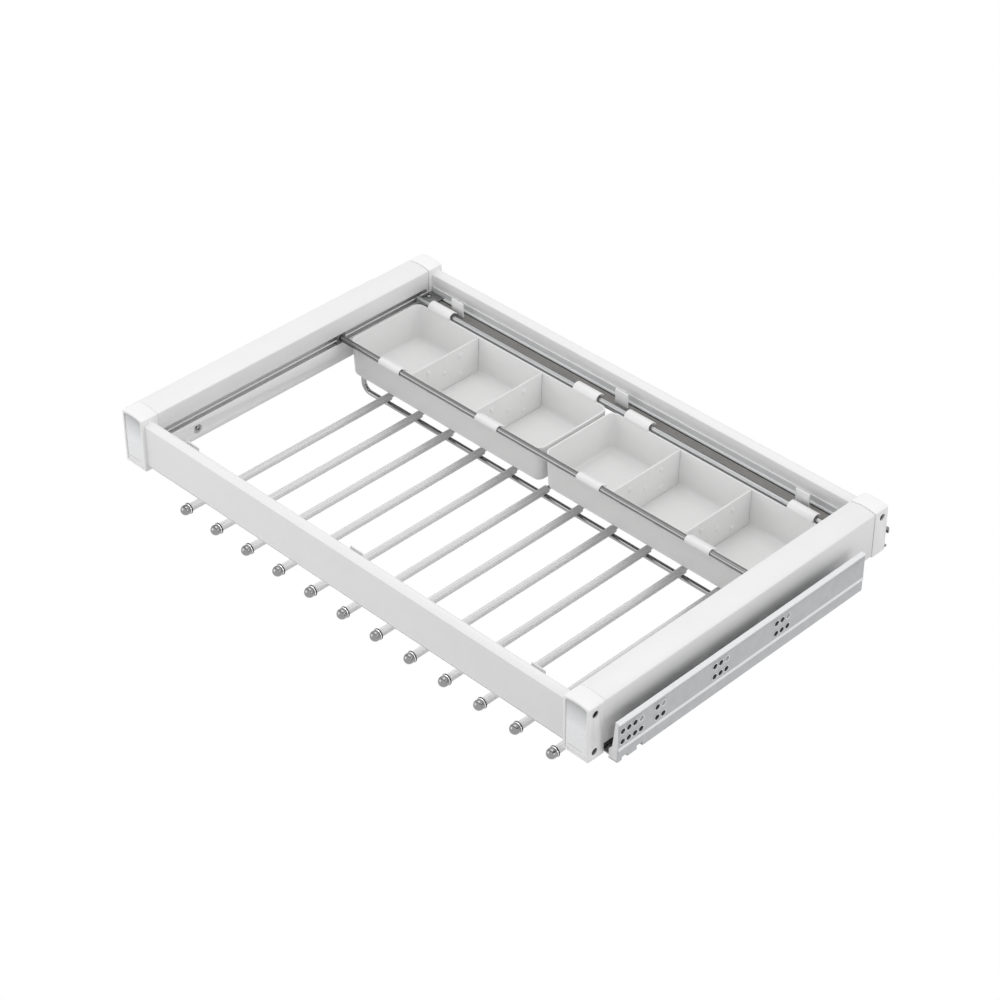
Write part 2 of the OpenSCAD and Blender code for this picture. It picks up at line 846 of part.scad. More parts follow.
// Upright clips that stand on the tray rail, with a foot reaching back
module rear_clips() {
    y = bead_y + rear_clip_y;
    color(white) placed() for (x = [-clip_x, 0, clip_x]) {
        translate([x - clip_w / 2, 0, 0]) {
            translate([0, y, -tray_rail_z]) cube([clip_w, clip_t, tray_rail_z - clip_top]);
            translate([0, y, -tray_rail_z]) cube([clip_w, slot_y - rear_clip_y - slot_w / 2, clip_t]);
        }
    }
}

// Upright clips behind the front rail, with a foot that lies in its groove
module front_clips() {
    y = front_inner_y + front_clip_y;
    foot_y = front_inner_y - cross_groove_d;
    color(white) placed() for (x = [-clip_x, 0, clip_x]) {
        translate([x - clip_w / 2, 0, 0]) {
            translate([0, y, -groove_bottom]) cube([clip_w, clip_t, groove_bottom - clip_top]);
            translate([0, foot_y, -groove_bottom]) cube([clip_w, y - foot_y + clip_t, clip_t]);
        }
    }
}

// A U-shaped wire: two legs, two bends and the cross part
module cross_wire(y, z) {
    straight = leg_x - bend_r;
    leg_low = z - bend_r;
    translate([0, y, 0]) {
        translate([0, 0, -z]) rod_x(-straight, 2 * straight, wire_r);
        both() {
            translate([leg_x, 0, 0]) rod_z(-leg_low, leg_low - web_low - foot_t, wire_r);
            translate([straight, 0, -leg_low]) rotate([90, 0, 0]) rotate([0, 0, -90]) {
                rotate_extrude(angle = 90, $fn = round_fn) {
                    translate([bend_r, 0]) circle(r = wire_r, $fn = round_fn);
                }
            }
        }
    }
}

module front_cross_wire() {
    color(chrome) placed() cross_wire(front_wire_y, front_wire_z);
}

module rear_cross_wire() {
    color(chrome) placed() cross_wire(rear_wire_y, rear_wire_z);
}

// Plates on top of the wires' legs, screwed up against the web of the side rails
module wire_feet() {
    x0 = rail_in_x + rail_wall;
    foot_w = 2 * (leg_x - x0);
    color(zinc) placed() both() for (y = [front_wire_y, rear_wire_y]) {
        difference() {
            translate([x0, y + wire_r + foot_t - foot_l, -web_low - foot_t]) {
                cube([foot_w, foot_l, foot_t]);
            }
            translate([leg_x, y - foot_screw_y, 0]) {
                rod_z(-web_low - foot_t - over, foot_t + 2 * over, screw_hole_r);
            }
        }
    }
}

function bar_at(i) = (i - (bars - 1) / 2) * bar_pitch;

module sleeve(i) {
    if (i < bars) color(white) placed() translate([bar_at(i), 0, -bars_z]) difference() {
        rod_y(sleeve_front, sleeve_len, sleeve_r);
        rod_y(sleeve_front - over, sleeve_len + 2 * over, rod_r + bolt_gap);
    }
}

module sleeve_01() {
    sleeve(0);
}

module sleeve_02() {
    sleeve(1);
}

module sleeve_03() {
    sleeve(2);
}

module sleeve_04() {
    sleeve(3);
}

module sleeve_05() {
    sleeve(4);
}

module sleeve_06() {
    sleeve(5);
}

module sleeve_07() {
    sleeve(6);
}

module sleeve_08() {
    sleeve(7);
}

module sleeve_09() {
    sleeve(8);
}

module sleeve_10() {
    sleeve(9);
}

module sleeve_11() {
    sleeve(10);
}

module sleeve_12() {
    sleeve(11);
}

module trouser_rods() {
    color(chrome) placed() for (i = [0 : bars - 1]) {
        translate([bar_at(i), 0, -bars_z]) rod_y(rod_front, rod_back - rod_front, rod_r);
    }
}

// A ball with a flared collar, bored for the rod
module bar_knobs() {
    color(chrome) placed() for (i = [0 : bars - 1]) {
        translate([bar_at(i), 0, -bars_z]) difference() {
            union() {
                translate([0, knob_y, 0]) sphere(r = ball_r, $fn = round_fn);
                rod_y(sleeve_front - collar_len, collar_len, collar_r);
            }
            rod_y(rod_front, ball_bore + over, rod_r + bolt_gap);
        }
    }
}

// The tapering body of a tray, set in from its outer faces by a margin
module tray_body(margin, floor_z, top_z) {
    r = tray_r - margin;
    low_r = floor_r;
    side = margin + tray_draft;
    hull() {
        for (x = [tray_x0 + tray_r, tray_x1 - tray_r], y = [tray_y0 + tray_r, tray_y1 - tray_r]) {
            translate([x, y, top_z - over]) cylinder(h = over, r = r, $fn = hull_fn);
        }
        for (x = [tray_x0 + side + low_r, tray_x1 - side - low_r],
             y = [tray_y0 + side + low_r, tray_y1 - side - low_r]) {
            translate([x, y, floor_z + low_r]) sphere(r = low_r, $fn = hull_fn);
        }
    }
}

module tray() {
    floor_z = -rim_z - tray_h;
    difference() {
        tray_body(0, floor_z, -rim_z);
        tray_body(tray_t, floor_z + tray_t, -rim_z + over);
    }
}

module tray_left() {
    color(tray_grey) placed() left() tray();
}

module tray_right() {
    color(tray_grey) placed() tray();
}

// A divider: a slice of the space inside a tray, with buttons on its right-hand face
module divider(x) {
    floor_z = -rim_z - tray_h + tray_t;
    color(tray_grey) placed() {
        intersection() {
            translate([x > 0 ? 0 : -tray_x1 - tray_x0, 0, 0]) {
                tray_body(tray_t + divider_gap, floor_z, -rim_z);
            }
            translate([x - divider_t / 2, tray_y0, floor_z]) cube([divider_t, tray_d, tray_h]);
        }
        for (share = button_shares) {
            translate([x + divider_t / 2, tray_y0 + share[0] * tray_d, floor_z + share[1] * tray_h]) {
                rod_x(0, button_h, button_r);
            }
        }
    }
}

function divider_x(share) = tray_x0 + share * tray_w;

module divider_1() {
    divider(-divider_x(divider_shares[1]));
}

module divider_2() {
    divider(-divider_x(divider_shares[0]));
}

module divider_3() {
    divider(divider_x(divider_shares[0]));
}

module divider_4() {
    divider(divider_x(divider_shares[1]));
}

// Section of a front hook, in Y and Z, with the bar's axis at the origin
module front_hook_section() {
    in_r = bar_r + hook_gap;
    out_r = in_r + front_hook_t;
    rim = rim_z - bar_z;
    difference() {
        union() {
            circle(r = out_r, $fn = round_fn);
            translate([-out_r, -bar_r]) square([out_r, bar_r]);
            polygon([[0, out_r], [tray_front + tray_t, front_hook_t - rim], [tray_front + tray_t, -rim],
                [tray_front, -rim], [tray_front, -rim - tongue_h], [tray_front - tongue_t, -rim - tongue_h],
                [tray_front - tongue_t, 0], [0, 0]]);
        }
        circle(r = in_r, $fn = round_fn);
        translate([-in_r, -out_r - over]) square([2 * in_r, out_r + over]);
    }
}

// Section of a rear hook, in Y and Z, with the bead's axis at the origin
module rear_hook_section(in_r) {
    drop = tray_rail_z - bead_z - over;
    rim = rim_z - bead_z;
    difference() {
        union() {
            circle(r = rear_hook_r, $fn = round_fn);
            translate([0, -drop]) square([rear_hook_r, drop]);
        }
        circle(r = in_r, $fn = round_fn);
        translate([-rear_hook_r - over, -rear_hook_r - over]) {
            square([rear_hook_r + over, rear_hook_r + over - rim]);
        }
        translate([0, -rear_hook_r - over]) square([in_r, rear_hook_r + over]);
        translate([-over, -rear_hook_r - over]) square([rear_hook_r + 2 * over, rear_hook_r + over - drop]);
    }
    translate([-tray_back, -rim - tongue_h]) square([tongue_t, tongue_h + rear_hook_t - hook_gap]);
}

module front_hooks() {
    for (share = front_hook_shares) {
        translate([0, bar_y, -bar_z]) {
            along_x(tray_x0 + share * tray_w - front_hook_w / 2, front_hook_w) front_hook_section();
        }
    }
}

// Two rear hooks, each with ribs inside that rest on the bead
module rear_hooks() {
    in_r = rear_hook_r - rear_hook_t;
    for (share = rear_hook_shares) {
        start = tray_x0 + share * tray_w - rear_hook_w / 2;
        translate([0, bead_y, -bead_z]) {
            along_x(start, rear_hook_w) rear_hook_section(in_r);
            for (step = [1, 3]) {
                along_x(start + step * rear_hook_w / 4 - rear_hook_t / 2, rear_hook_t) {
                    rear_hook_section(bead_r + hook_gap);
                }
            }
        }
    }
}

module left_front_hooks() {
    color(white) placed() left() front_hooks();
}

module right_front_hooks() {
    color(white) placed() front_hooks();
}

module left_rear_hooks() {
    color(white) placed() left() rear_hooks();
}

module right_rear_hooks() {
    color(white) placed() rear_hooks();
}

// Section of the profile on the cabinet wall, in X and Z
module cabinet_section() {
    translate([wall_x - steel_t, -fold_z - steel_t]) square([steel_t, fold_z + steel_t - runner_top]);
    translate([wall_x - flange_w, -runner_top - steel_t]) square([flange_w, steel_t]);
    translate([wall_x - fold_d - steel_t, -runner_low]) square([steel_t, runner_low - fold_z]);
    translate([base_in_x, -runner_low]) square([wall_x - fold_d - base_in_x, steel_t]);
    translate([base_in_x, -runner_low]) square([steel_t, lip_h]);
}

module wall_hole(y, z, r) {
    translate([0, y, -z]) rod_x(wall_x - 2 * steel_t, 3 * steel_t, r);
}

module hole_group(start, columns) {
    for (column = [0 : columns - 1], row = [0, 1]) {
        wall_hole(runner_y + start + column * hole_pitch, hole_top_z + row * hole_rows, hole_r);
    }
}

module cabinet_profile() {
    difference() {
        along_y(runner_y, runner_l) cabinet_section();
        translate([base_in_x - over, runner_y - over, -runner_low - over]) {
            cube([wall_x - cap_w - base_in_x + over, base_front - runner_y + over, lip_h + 2 * over]);
        }
        hole_group(group_1, 4);
        hole_group(group_2, 2);
        hole_group(group_3, 3);
        hole_group(group_4, 3);
        for (step = [0, 1]) {
            translate([wall_x - 3 * steel_t, runner_y + notch_y + step * notch_pitch, -runner_low - over]) {
                cube([3 * steel_t + over, notch_w, notch_h + over]);
            }
        }
    }
}

module cabinet_profile_left() {
    color(silver) placed() left() cabinet_profile();
}

module cabinet_profile_right() {
    color(silver) placed() cabinet_profile();
}

// A profile like an upturned channel, in X and Z
module channel_section(w, top, h) {
    x0 = drawer_mid_x - w / 2;
    difference() {
        translate([x0, -top - h]) square([w, h]);
        translate([x0 + steel_t, -top - h - over]) square([w - 2 * steel_t, h - steel_t + over]);
    }
}

module rivet_place() {
    for (share = rivet_shares) {
        translate([drawer_mid_x, drawer_front + share * drawer_l, 0]) children();
    }
}

module drawer_profile() {
    difference() {
        along_y(drawer_front, drawer_l) channel_section(drawer_w, web_low, drawer_h);
        rivet_place() translate([0, 0, -drawer_under]) {
            cylinder(h = steel_t, r1 = rivet_head_r, r2 = rivet_r, $fn = round_fn);
            rod_z(-over, steel_t + 2 * over, rivet_r);
        }
    }
}

module drawer_profile_left() {
    color(silver) placed() left() drawer_profile();
}

module drawer_profile_right() {
    color(silver) placed() drawer_profile();
}

// Flush rivets that hold the drawer profiles to the side rails' webs
module runner_rivets() {
    color(zinc) placed() both() rivet_place() {
        translate([0, 0, -drawer_under]) {
            cylinder(h = steel_t, r1 = rivet_head_r, r2 = rivet_r, $fn = round_fn);
            rod_z(0, steel_t + web_t, rivet_r);
        }
        rod_z(-web_z, rivet_r, rivet_head_r);
    }
}

module middle_profile() {
    along_y(middle_front, middle_back - middle_front) channel_section(middle_w, middle_top, middle_h);
}

module middle_profile_left() {
    color(silver) placed() left() middle_profile();
}

module middle_profile_right() {
    color(silver) placed() middle_profile();
}

// A cage of rollers between two profiles, centred along the runner
module roller_cage(low_z, space, w) {
    roller_r = space / 2 - roll_gap;
    t = space - 2 * cage_gap;
    start = runner_y + runner_l / 2 - cage_l / 2;
    slot_l = 2 * (roller_r + cage_gap);
    roller_w = w - 4 * cage_gap;
    x0 = drawer_mid_x - w / 2;
    difference() {
        translate([x0, start, -low_z + cage_gap]) cube([w, cage_l, t]);
        for (i = [0 : cage_rollers - 1]) {
            translate([x0 + cage_gap, start + (i + 0.5) * roller_pitch - slot_l / 2, -low_z]) {
                cube([w - 2 * cage_gap, slot_l, space]);
            }
        }
    }
    for (i = [0 : cage_rollers - 1]) {
        translate([0, start + (i + 0.5) * roller_pitch, -low_z + space / 2]) {
            rod_x(x0 + 2 * cage_gap, roller_w, roller_r);
        }
    }
}

module lower_cage_left() {
    color(dark_metal) placed() left() roller_cage(base_top, lower_space, lower_cage_w);
}

module lower_cage_right() {
    color(dark_metal) placed() roller_cage(base_top, lower_space, lower_cage_w);
}

module upper_cage_left() {
    color(dark_metal) placed() left() roller_cage(middle_top, ball_space, upper_cage_w);
}

module upper_cage_right() {
    color(dark_metal) placed() roller_cage(middle_top, ball_space, upper_cage_w);
}

// The plastic cap in the front end of the cabinet profile
module runner_cap() {
    x0 = wall_x - cap_w;
    x1 = wall_x - fold_d - steel_t;
    x2 = wall_x - steel_t;
    high = -runner_top - steel_t;
    shoulder = -runner_low + cap_h;
    translate([0, runner_y, 0]) {
        along_y(0, cap_t) {
            polygon([[x0, -base_top], [x1, -base_top], [x1, -fold_z], [x2, -fold_z], [x2, high],
                [wall_x - flange_w, high], [x0 + cap_shoulder, shoulder + cap_shoulder], [x0, shoulder]]);
        }
        along_y(0, cap_l) {
            polygon([[x0, -base_top], [x1, -base_top], [x1, shoulder], [x0, shoulder]]);
        }
    }
}

module runner_cap_left() {
    color(silver) placed() left() runner_cap();
}

module runner_cap_right() {
    color(silver) placed() runner_cap();
}

// Hook plates on the rear blocks that catch in the back of the cabinet
module rear_latches() {
    color(zinc) placed() both() difference() {
        translate([latch_x, frame_d, -latch_top - latch_h]) {
            cube([latch_w, latch_t, latch_h]);
            translate([0, 0, latch_h - latch_t]) cube([latch_w, latch_out, latch_t]);
            translate([0, latch_out - latch_t, latch_h - latch_lip]) cube([latch_w, latch_t, latch_lip]);
        }
        translate([latch_x + latch_w / 2, 0, -latch_screw_z]) {
            rod_y(frame_d - over, latch_t + 2 * over, screw_hole_r);
        }
    }
}

side_rail_left();
side_rail_right();
front_rail();
rear_rail();
front_block_left();
front_block_right();
rear_block_left();
rear_block_right();
front_plate_left();
front_plate_right();
corner_screws();
rail_screws();
tray_rail();
tray_bar();
tray_bar_plugs();
corner_bracket_left();
corner_bracket_right();
rear_clips();
front_clips();
front_cross_wire();
rear_cross_wire();
wire_feet();
sleeve_01();
sleeve_02();
sleeve_03();
sleeve_04();
sleeve_05();
sleeve_06();
sleeve_07();
sleeve_08();
sleeve_09();
sleeve_10();
sleeve_11();
sleeve_12();
trouser_rods();
bar_knobs();
tray_left();
tray_right();
divider_1();
divider_2();
divider_3();
divider_4();
left_front_hooks();
right_front_hooks();
left_rear_hooks();
right_rear_hooks();
cabinet_profile_left();
cabinet_profile_right();
middle_profile_left();
middle_profile_right();
drawer_profile_left();
drawer_profile_right();
lower_cage_left();
lower_cage_right();
upper_cage_left();
upper_cage_right();
runner_cap_left();
runner_cap_right();
runner_rivets();
rear_latches();
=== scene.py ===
# %% [markdown]
# # A pull out trouser rack, dressed in Blender
# The rack is a white frame on two runners, with twelve bars below it and two grey trays at
# the back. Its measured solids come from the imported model, and this lesson gives them the
# rounded edges, the small fittings and the finishes that a camera would see. Everything is
# in metres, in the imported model's own frame, so no piece has to be fitted by eye.

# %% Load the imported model
import math

import bmesh
import bpy
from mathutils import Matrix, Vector


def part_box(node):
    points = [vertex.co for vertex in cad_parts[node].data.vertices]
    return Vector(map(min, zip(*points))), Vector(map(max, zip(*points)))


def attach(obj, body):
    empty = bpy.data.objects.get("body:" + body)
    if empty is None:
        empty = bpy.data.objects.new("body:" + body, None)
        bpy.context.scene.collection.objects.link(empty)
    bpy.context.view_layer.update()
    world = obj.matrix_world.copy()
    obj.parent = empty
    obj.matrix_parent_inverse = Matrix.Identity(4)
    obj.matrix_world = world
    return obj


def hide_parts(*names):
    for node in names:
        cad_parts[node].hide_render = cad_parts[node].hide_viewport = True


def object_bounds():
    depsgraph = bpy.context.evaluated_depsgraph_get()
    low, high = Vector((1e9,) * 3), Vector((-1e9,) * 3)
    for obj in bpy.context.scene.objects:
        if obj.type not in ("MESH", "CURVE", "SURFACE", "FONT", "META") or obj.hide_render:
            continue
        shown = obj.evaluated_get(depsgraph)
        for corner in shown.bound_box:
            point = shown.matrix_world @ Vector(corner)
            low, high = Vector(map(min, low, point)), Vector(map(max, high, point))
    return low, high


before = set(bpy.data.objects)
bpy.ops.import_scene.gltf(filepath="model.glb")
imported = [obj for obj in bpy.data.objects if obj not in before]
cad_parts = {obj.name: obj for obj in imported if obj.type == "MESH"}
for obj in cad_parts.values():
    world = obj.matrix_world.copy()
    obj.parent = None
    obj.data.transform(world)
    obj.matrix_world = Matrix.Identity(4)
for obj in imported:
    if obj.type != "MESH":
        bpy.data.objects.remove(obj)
cad_low, cad_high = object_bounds()
bpy.ops.object.select_all(action="DESELECT")
print("packed nodes:", len(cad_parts))

# %% [markdown]
# ## Rack millimetres
# A workshop drawing counts depth from the front of the frame and height from the top edge
# of the side rails. The same way of counting keeps every size in this lesson short. The
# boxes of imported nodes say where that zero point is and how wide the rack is, so the
# numbers follow the solids.

# %% Measure the rack and define its places
MM = 0.001
CROWN = 2.3  # how far a side rail's crowned top rises above its edges
BLOCK = 24.6  # the depth of a corner block
rail_low, rail_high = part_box("side_rail_right")
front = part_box("front_block_right")[0].y
top = rail_high.z - CROWN * MM
X_IN = rail_low.x / MM
X_OUT = rail_high.x / MM
X_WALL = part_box("cabinet_profile_right")[1].x / MM
Y_END = (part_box("rear_block_right")[1].y - front) / MM


def at(x, y, z):
    """A point given in rack millimetres, in metres."""
    return Vector((x * MM, front + y * MM, top + z * MM))


print(f"side rail from {X_IN:.1f} to {X_OUT:.1f} mm, frame {Y_END:.1f} mm deep")

# %% [markdown]
# ## The camera
# The picture was taken from above the rack's right front corner, with a long lens, so that
# parallel rails stay almost parallel. Its place was solved from the rack's own corners,
# which is more exact than turning the view by hand.

# %% Set the camera
CAMERA_PLACE = (1.77512, -1.78030, 1.90323)
CAMERA_TURN = 44.881
CAMERA_LIFT = 37.116
LENS = 97.639
SENSOR = 36
bpy.ops.object.camera_add(
    location=CAMERA_PLACE,
    rotation=(math.radians(90 - CAMERA_LIFT), 0, math.radians(CAMERA_TURN)),
)
camera = bpy.context.object
camera.name = "photo_camera"
camera.data.lens = LENS
camera.data.sensor_width = SENSOR
camera.data.clip_end = 60
bpy.context.scene.camera = camera
print("camera looks down by", CAMERA_LIFT, "degrees")

# %% [markdown]
# ## Choosing what an operator acts on
# An operator acts on all that is selected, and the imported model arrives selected. So one
# tool leaves nothing selected but the piece in hand. Another opens that piece in edit mode
# and selects faces or edges by their place, as a hand does by clicking, and it still finds
# them when a size changes.

# %% Define the choosing tools
def only(obj):
    """Leaves object mode with nothing selected but obj."""
    if bpy.context.mode != "OBJECT":
        bpy.ops.object.mode_set(mode="OBJECT")
    bpy.ops.object.select_all(action="DESELECT")
    if obj:
        obj.select_set(True)
        bpy.context.view_layer.objects.active = obj


def choose(obj, kind, test):
    """Opens obj in edit mode with the faces or edges selected that pass a test."""
    only(obj)
    bpy.ops.object.mode_set(mode="EDIT")
    bpy.ops.mesh.select_mode(type=kind)
    bpy.ops.mesh.select_all(action="DESELECT")
    mesh = bmesh.from_edit_mesh(obj.data)
    for item in {"FACE": mesh.faces, "EDGE": mesh.edges}[kind]:
        if test(item):
            item.select_set(True)
    mesh.select_flush_mode()
    bmesh.update_edit_mesh(obj.data)


def outward():
    """Turns all faces of the mesh in edit mode outwards, and closes edit mode."""
    bpy.ops.mesh.select_all(action="SELECT")
    bpy.ops.mesh.normals_make_consistent(inside=False)
    bpy.ops.object.mode_set(mode="OBJECT")


print("choosing tools ready")

# %% [markdown]
# ## Pressing a profile
# Rails, runners, hooks and clips have the same section all along, because they are pressed
# through a die or rolled. So a section is drawn once, as a circle with as many points as it
# needs, each moved to its place, and edit mode pulls it out to its length. Cutting the same
# form out of a cube would take many more steps.

# %% Define the press
def arc(a, b, r, start, stop, steps=6):
    """Points on an arc about (a, b), from one angle in degrees to another."""
    angles = [math.radians(start + (stop - start) * i / steps) for i in range(steps + 1)]
    return [(a + r * math.cos(t), b + r * math.sin(t)) for t in angles]


def rectangle(a_low, b_low, a_high, b_high):
    """The four corners of a rectangle."""
    return [(a_low, b_low), (a_high, b_low), (a_high, b_high), (a_low, b_high)]


def pressed(name, outline, axis, start, length):
    """Pulls an outline out along X, Y or Z. Its points are the other two, in rack mm."""
    only(None)
    bpy.ops.mesh.primitive_circle_add(vertices=len(outline), fill_type="NGON")
    obj = bpy.context.object
    obj.name = name
    place = {
        "x": lambda a, b: at(start, a, b),
        "y": lambda a, b: at(a, start, b),
        "z": lambda a, b: at(a, b, start),
    }[axis]
    for vertex, (a, b) in zip(obj.data.vertices, outline):
        vertex.co = place(a, b)
    step = Vector([length * MM if letter == axis else 0 for letter in "xyz"])
    bpy.ops.object.mode_set(mode="EDIT")
    bpy.ops.mesh.select_all(action="SELECT")
    bpy.ops.mesh.extrude_region_move(TRANSFORM_OT_translate={"value": step})
    outward()
    return obj


print("press ready")

# %% [markdown]
# ## Softening, copying and joining
# A real edge is never sharp and catches a thin line of light, so nearly every piece gets a
# narrow bevel. What repeats is modelled once and copied. Each copy has its own mesh, moved
# or mirrored in place, because the export puts every object back at the origin.

# %% Define the finishing tools
SMOOTH_ANGLE = math.radians(38)


def finish_with(obj, kind, **settings):
    """Adds a modifier with its settings and applies it."""
    only(obj)
    modifier = obj.modifiers.new(kind.title(), kind)
    for key, value in settings.items():
        setattr(modifier, key, value)
    bpy.ops.object.modifier_apply(modifier=modifier.name)
    return obj


def smooth(obj):
    only(obj)
    bpy.ops.object.shade_smooth_by_angle(angle=SMOOTH_ANGLE)
    return obj


def soften(obj, width, segments=2, angle=35):
    """Rounds all edges sharper than the angle by a width in millimetres."""
    finish_with(
        obj, "BEVEL", width=width * MM, segments=segments,
        limit_method="ANGLE", angle_limit=math.radians(angle),
    )
    return smooth(obj)


def copy_of(obj, name, shift=(0, 0, 0), mirrored=False):
    """A copy with its own mesh, moved in millimetres or mirrored left to right."""
    twin = obj.copy()
    twin.data = obj.data.copy()
    twin.name = name
    bpy.context.scene.collection.objects.link(twin)
    for vertex in twin.data.vertices:
        if mirrored:
            vertex.co.x = -vertex.co.x
        vertex.co += Vector(shift) * MM
    if mirrored:
        twin.data.flip_normals()
    return twin


def joined(name, parts):
    """Joins parts that are one node of the rack into one piece."""
    only(parts[0])
    for part in parts:
        part.select_set(True)
    bpy.ops.object.join()
    parts[0].name = name
    return parts[0]


print("finishing tools ready")

# %% [markdown]
# ## Drilling
# Holes and hollows are cut with a boolean. It needs a closed cutter that crosses the
# surface clearly, so every drill bar starts outside the piece. Bars that don't overlap
# are joined and cut in one go.

# %% Define the drill
def placed(name):
    """Names the new primitive and moves its place into its mesh."""
    obj = bpy.context.object
    obj.name = name
    bpy.ops.object.transform_apply(location=True, rotation=True, scale=True)
    return obj


def cutter(name, center, axis, r, length, steps=32):
    """A round bar about a point, to drill with."""
    turn = {"x": (0, math.pi / 2, 0), "y": (math.pi / 2, 0, 0)}[axis]
    only(None)
    bpy.ops.mesh.primitive_cylinder_add(
        vertices=steps, radius=r * MM, depth=length * MM, location=center, rotation=turn)
    return placed(name)


def box_cutter(name, low, high):
    """A box between two corners in rack mm."""
    only(None)
    a, b = at(*low), at(*high)
    bpy.ops.mesh.primitive_cube_add(size=1, location=(a + b) / 2)
    bpy.context.object.scale = [abs(c) for c in b - a]
    return placed(name)


def drill(obj, cutters):
    """Cuts all the cutters out of obj and throws them away."""
    tool = joined("drill", cutters)
    finish_with(obj, "BOOLEAN", operation="DIFFERENCE", object=tool, solver="EXACT")
    bpy.data.objects.remove(tool)
    return obj


print("drill ready")

# %% [markdown]
# ## Finishes
# A finish is more than a colour. Powder coat has a faint orange peel, moulded plastic a
# fine grain, rolled steel long scratches, and galvanised sheet pale and dark flakes. Each
# is drawn by noise that reads the piece's own coordinates, so that it stays in place when
# the piece moves. One recipe serves them all: a slow noise shifts the colour a little, and
# a fine noise, stretched where the metal was drawn, varies the gloss and makes the relief.
# Greys are given as they look in a picture, from 0 to 255, and turned into linear light.

# %% Define greys and shader nodes
def tone(level):
    """The linear value of a grey level from 0 to 255, as a picture shows it."""
    v = level / 255
    return v / 12.92 if v <= 0.04045 else ((v + 0.055) / 1.055) ** 2.4


def shade(level, warm=0.0):
    """A grey as a linear colour, with a little more red and less blue where it is warm."""
    return (tone(level + warm), tone(level), tone(level - warm), 1)


def link(tree, source, output, target, socket):
    tree.links.new(source.outputs[output], target.inputs[socket])


def node_of(tree, kind, **values):
    """A new shader node, with values for its sockets or its settings."""
    node = tree.nodes.new(kind)
    for key, value in values.items():
        if key in node.inputs:
            node.inputs[key].default_value = value
        else:
            setattr(node, key, value)
    return node


print(f"mid grey 128 is {tone(128):.3f} in linear light")

# %% Define the recipe for a finish
NOISE_LOW, NOISE_HIGH = 0.3, 0.7  # the range that most of a noise lies in
GLOSS_LOW, GLOSS_HIGH = 0.85, 1.15  # how far the roughness varies about its value


def finish_for(name, level, gloss, metal=0.0, warm=0.0, drift=0.03, flake=22,
               relief=0.1, grain=1400, stretch=(1, 1, 1), coat=0.0):
    """A finish: its grey level, roughness, slow drift of colour, and fine relief."""
    material = bpy.data.materials.new(name)
    material.use_nodes = True
    tree = material.node_tree
    shader = tree.nodes["Principled BSDF"]
    shader.inputs["Metallic"].default_value = metal
    shader.inputs["Coat Weight"].default_value = coat
    place = node_of(tree, "ShaderNodeTexCoord")
    drawn = node_of(tree, "ShaderNodeMapping", Scale=stretch)
    slow = node_of(tree, "ShaderNodeTexNoise", Scale=flake, Detail=4, Roughness=0.55)
    fine = node_of(tree, "ShaderNodeTexNoise", Scale=grain, Detail=3)
    link(tree, place, "Object", drawn, "Vector")
    link(tree, place, "Object", slow, "Vector")
    link(tree, drawn, "Vector", fine, "Vector")
    ramp = node_of(tree, "ShaderNodeValToRGB")
    dark, light = ramp.color_ramp.elements
    dark.position, light.position = NOISE_LOW, NOISE_HIGH
    dark.color = [c * (1 - drift) for c in shade(level, warm)[:3]] + [1]
    light.color = [min(1, c * (1 + drift)) for c in shade(level, warm)[:3]] + [1]
    link(tree, slow, "Fac", ramp, "Fac")
    link(tree, ramp, "Color", shader, "Base Color")
    rough = node_of(tree, "ShaderNodeMapRange")
    rough.inputs["From Min"].default_value = NOISE_LOW
    rough.inputs["From Max"].default_value = NOISE_HIGH
    rough.inputs["To Min"].default_value = gloss * GLOSS_LOW
    rough.inputs["To Max"].default_value = min(1, gloss * GLOSS_HIGH)
    link(tree, fine, "Fac", rough, "Value")
    link(tree, rough, "Result", shader, "Roughness")
    bump = node_of(tree, "ShaderNodeBump", Strength=relief, Distance=0.0002)
    link(tree, fine, "Fac", bump, "Height")
    link(tree, bump, "Normal", shader, "Normal")
    return material


print("recipe ready")

# %% Mix the finishes
FINISHES = {
    "rail_paint": finish_for("rail_paint", 241, 0.42, drift=0.012, relief=0.12, grain=1100),
    "block_plastic": finish_for("block_plastic", 248, 0.34, drift=0.01, relief=0.08),
    "screw_steel": finish_for("screw_steel", 138, 0.24, metal=1, drift=0.12, flake=260),
    "ribbed_aluminium": finish_for(
        "ribbed_aluminium", 168, 0.34, metal=0.8, warm=2, drift=0.04, flake=30,
        stretch=(0.02, 1, 1), grain=2600, relief=0.25),
    "chrome": finish_for("chrome", 158, 0.08, metal=1, drift=0.02, flake=60, relief=0.02),
    "dark_plastic": finish_for("dark_plastic", 112, 0.6, drift=0.08, relief=0.3),
    "dark_steel": finish_for("dark_steel", 140, 0.3, metal=0.9, drift=0.14, flake=160),
    "knob_chrome": finish_for("knob_chrome", 150, 0.07, metal=1, drift=0.02, relief=0.02),
    "bar_steel": finish_for("bar_steel", 140, 0.16, metal=1, drift=0.02, relief=0.03),
    # painted shade: a dark steel for the hole collars and the profiles inside the runner
    "painted_shade_steel": finish_for("painted_shade_steel", 78, 0.5, metal=0.3, drift=0.05),
    "clip_plastic": finish_for("clip_plastic", 238, 0.3, drift=0.01, relief=0.05),
    "sleeve_plastic": finish_for(
        "sleeve_plastic", 233, 0.45, drift=0.004, stretch=(1, 0.15, 1), relief=0.03),
    "tray_plastic": finish_for(
        "tray_plastic", 235, 0.3, drift=0.008, warm=0.3, relief=0.15, grain=1800),
    "runner_steel": finish_for(
        "runner_steel", 187, 0.38, metal=0.55, warm=-1.5, drift=0.05, flake=85,
        stretch=(1, 0.03, 1), grain=1500, relief=0.12),
    "cap_plastic": finish_for("cap_plastic", 246, 0.5, drift=0.02, relief=0.2),
}
print("finishes:", ", ".join(FINISHES))
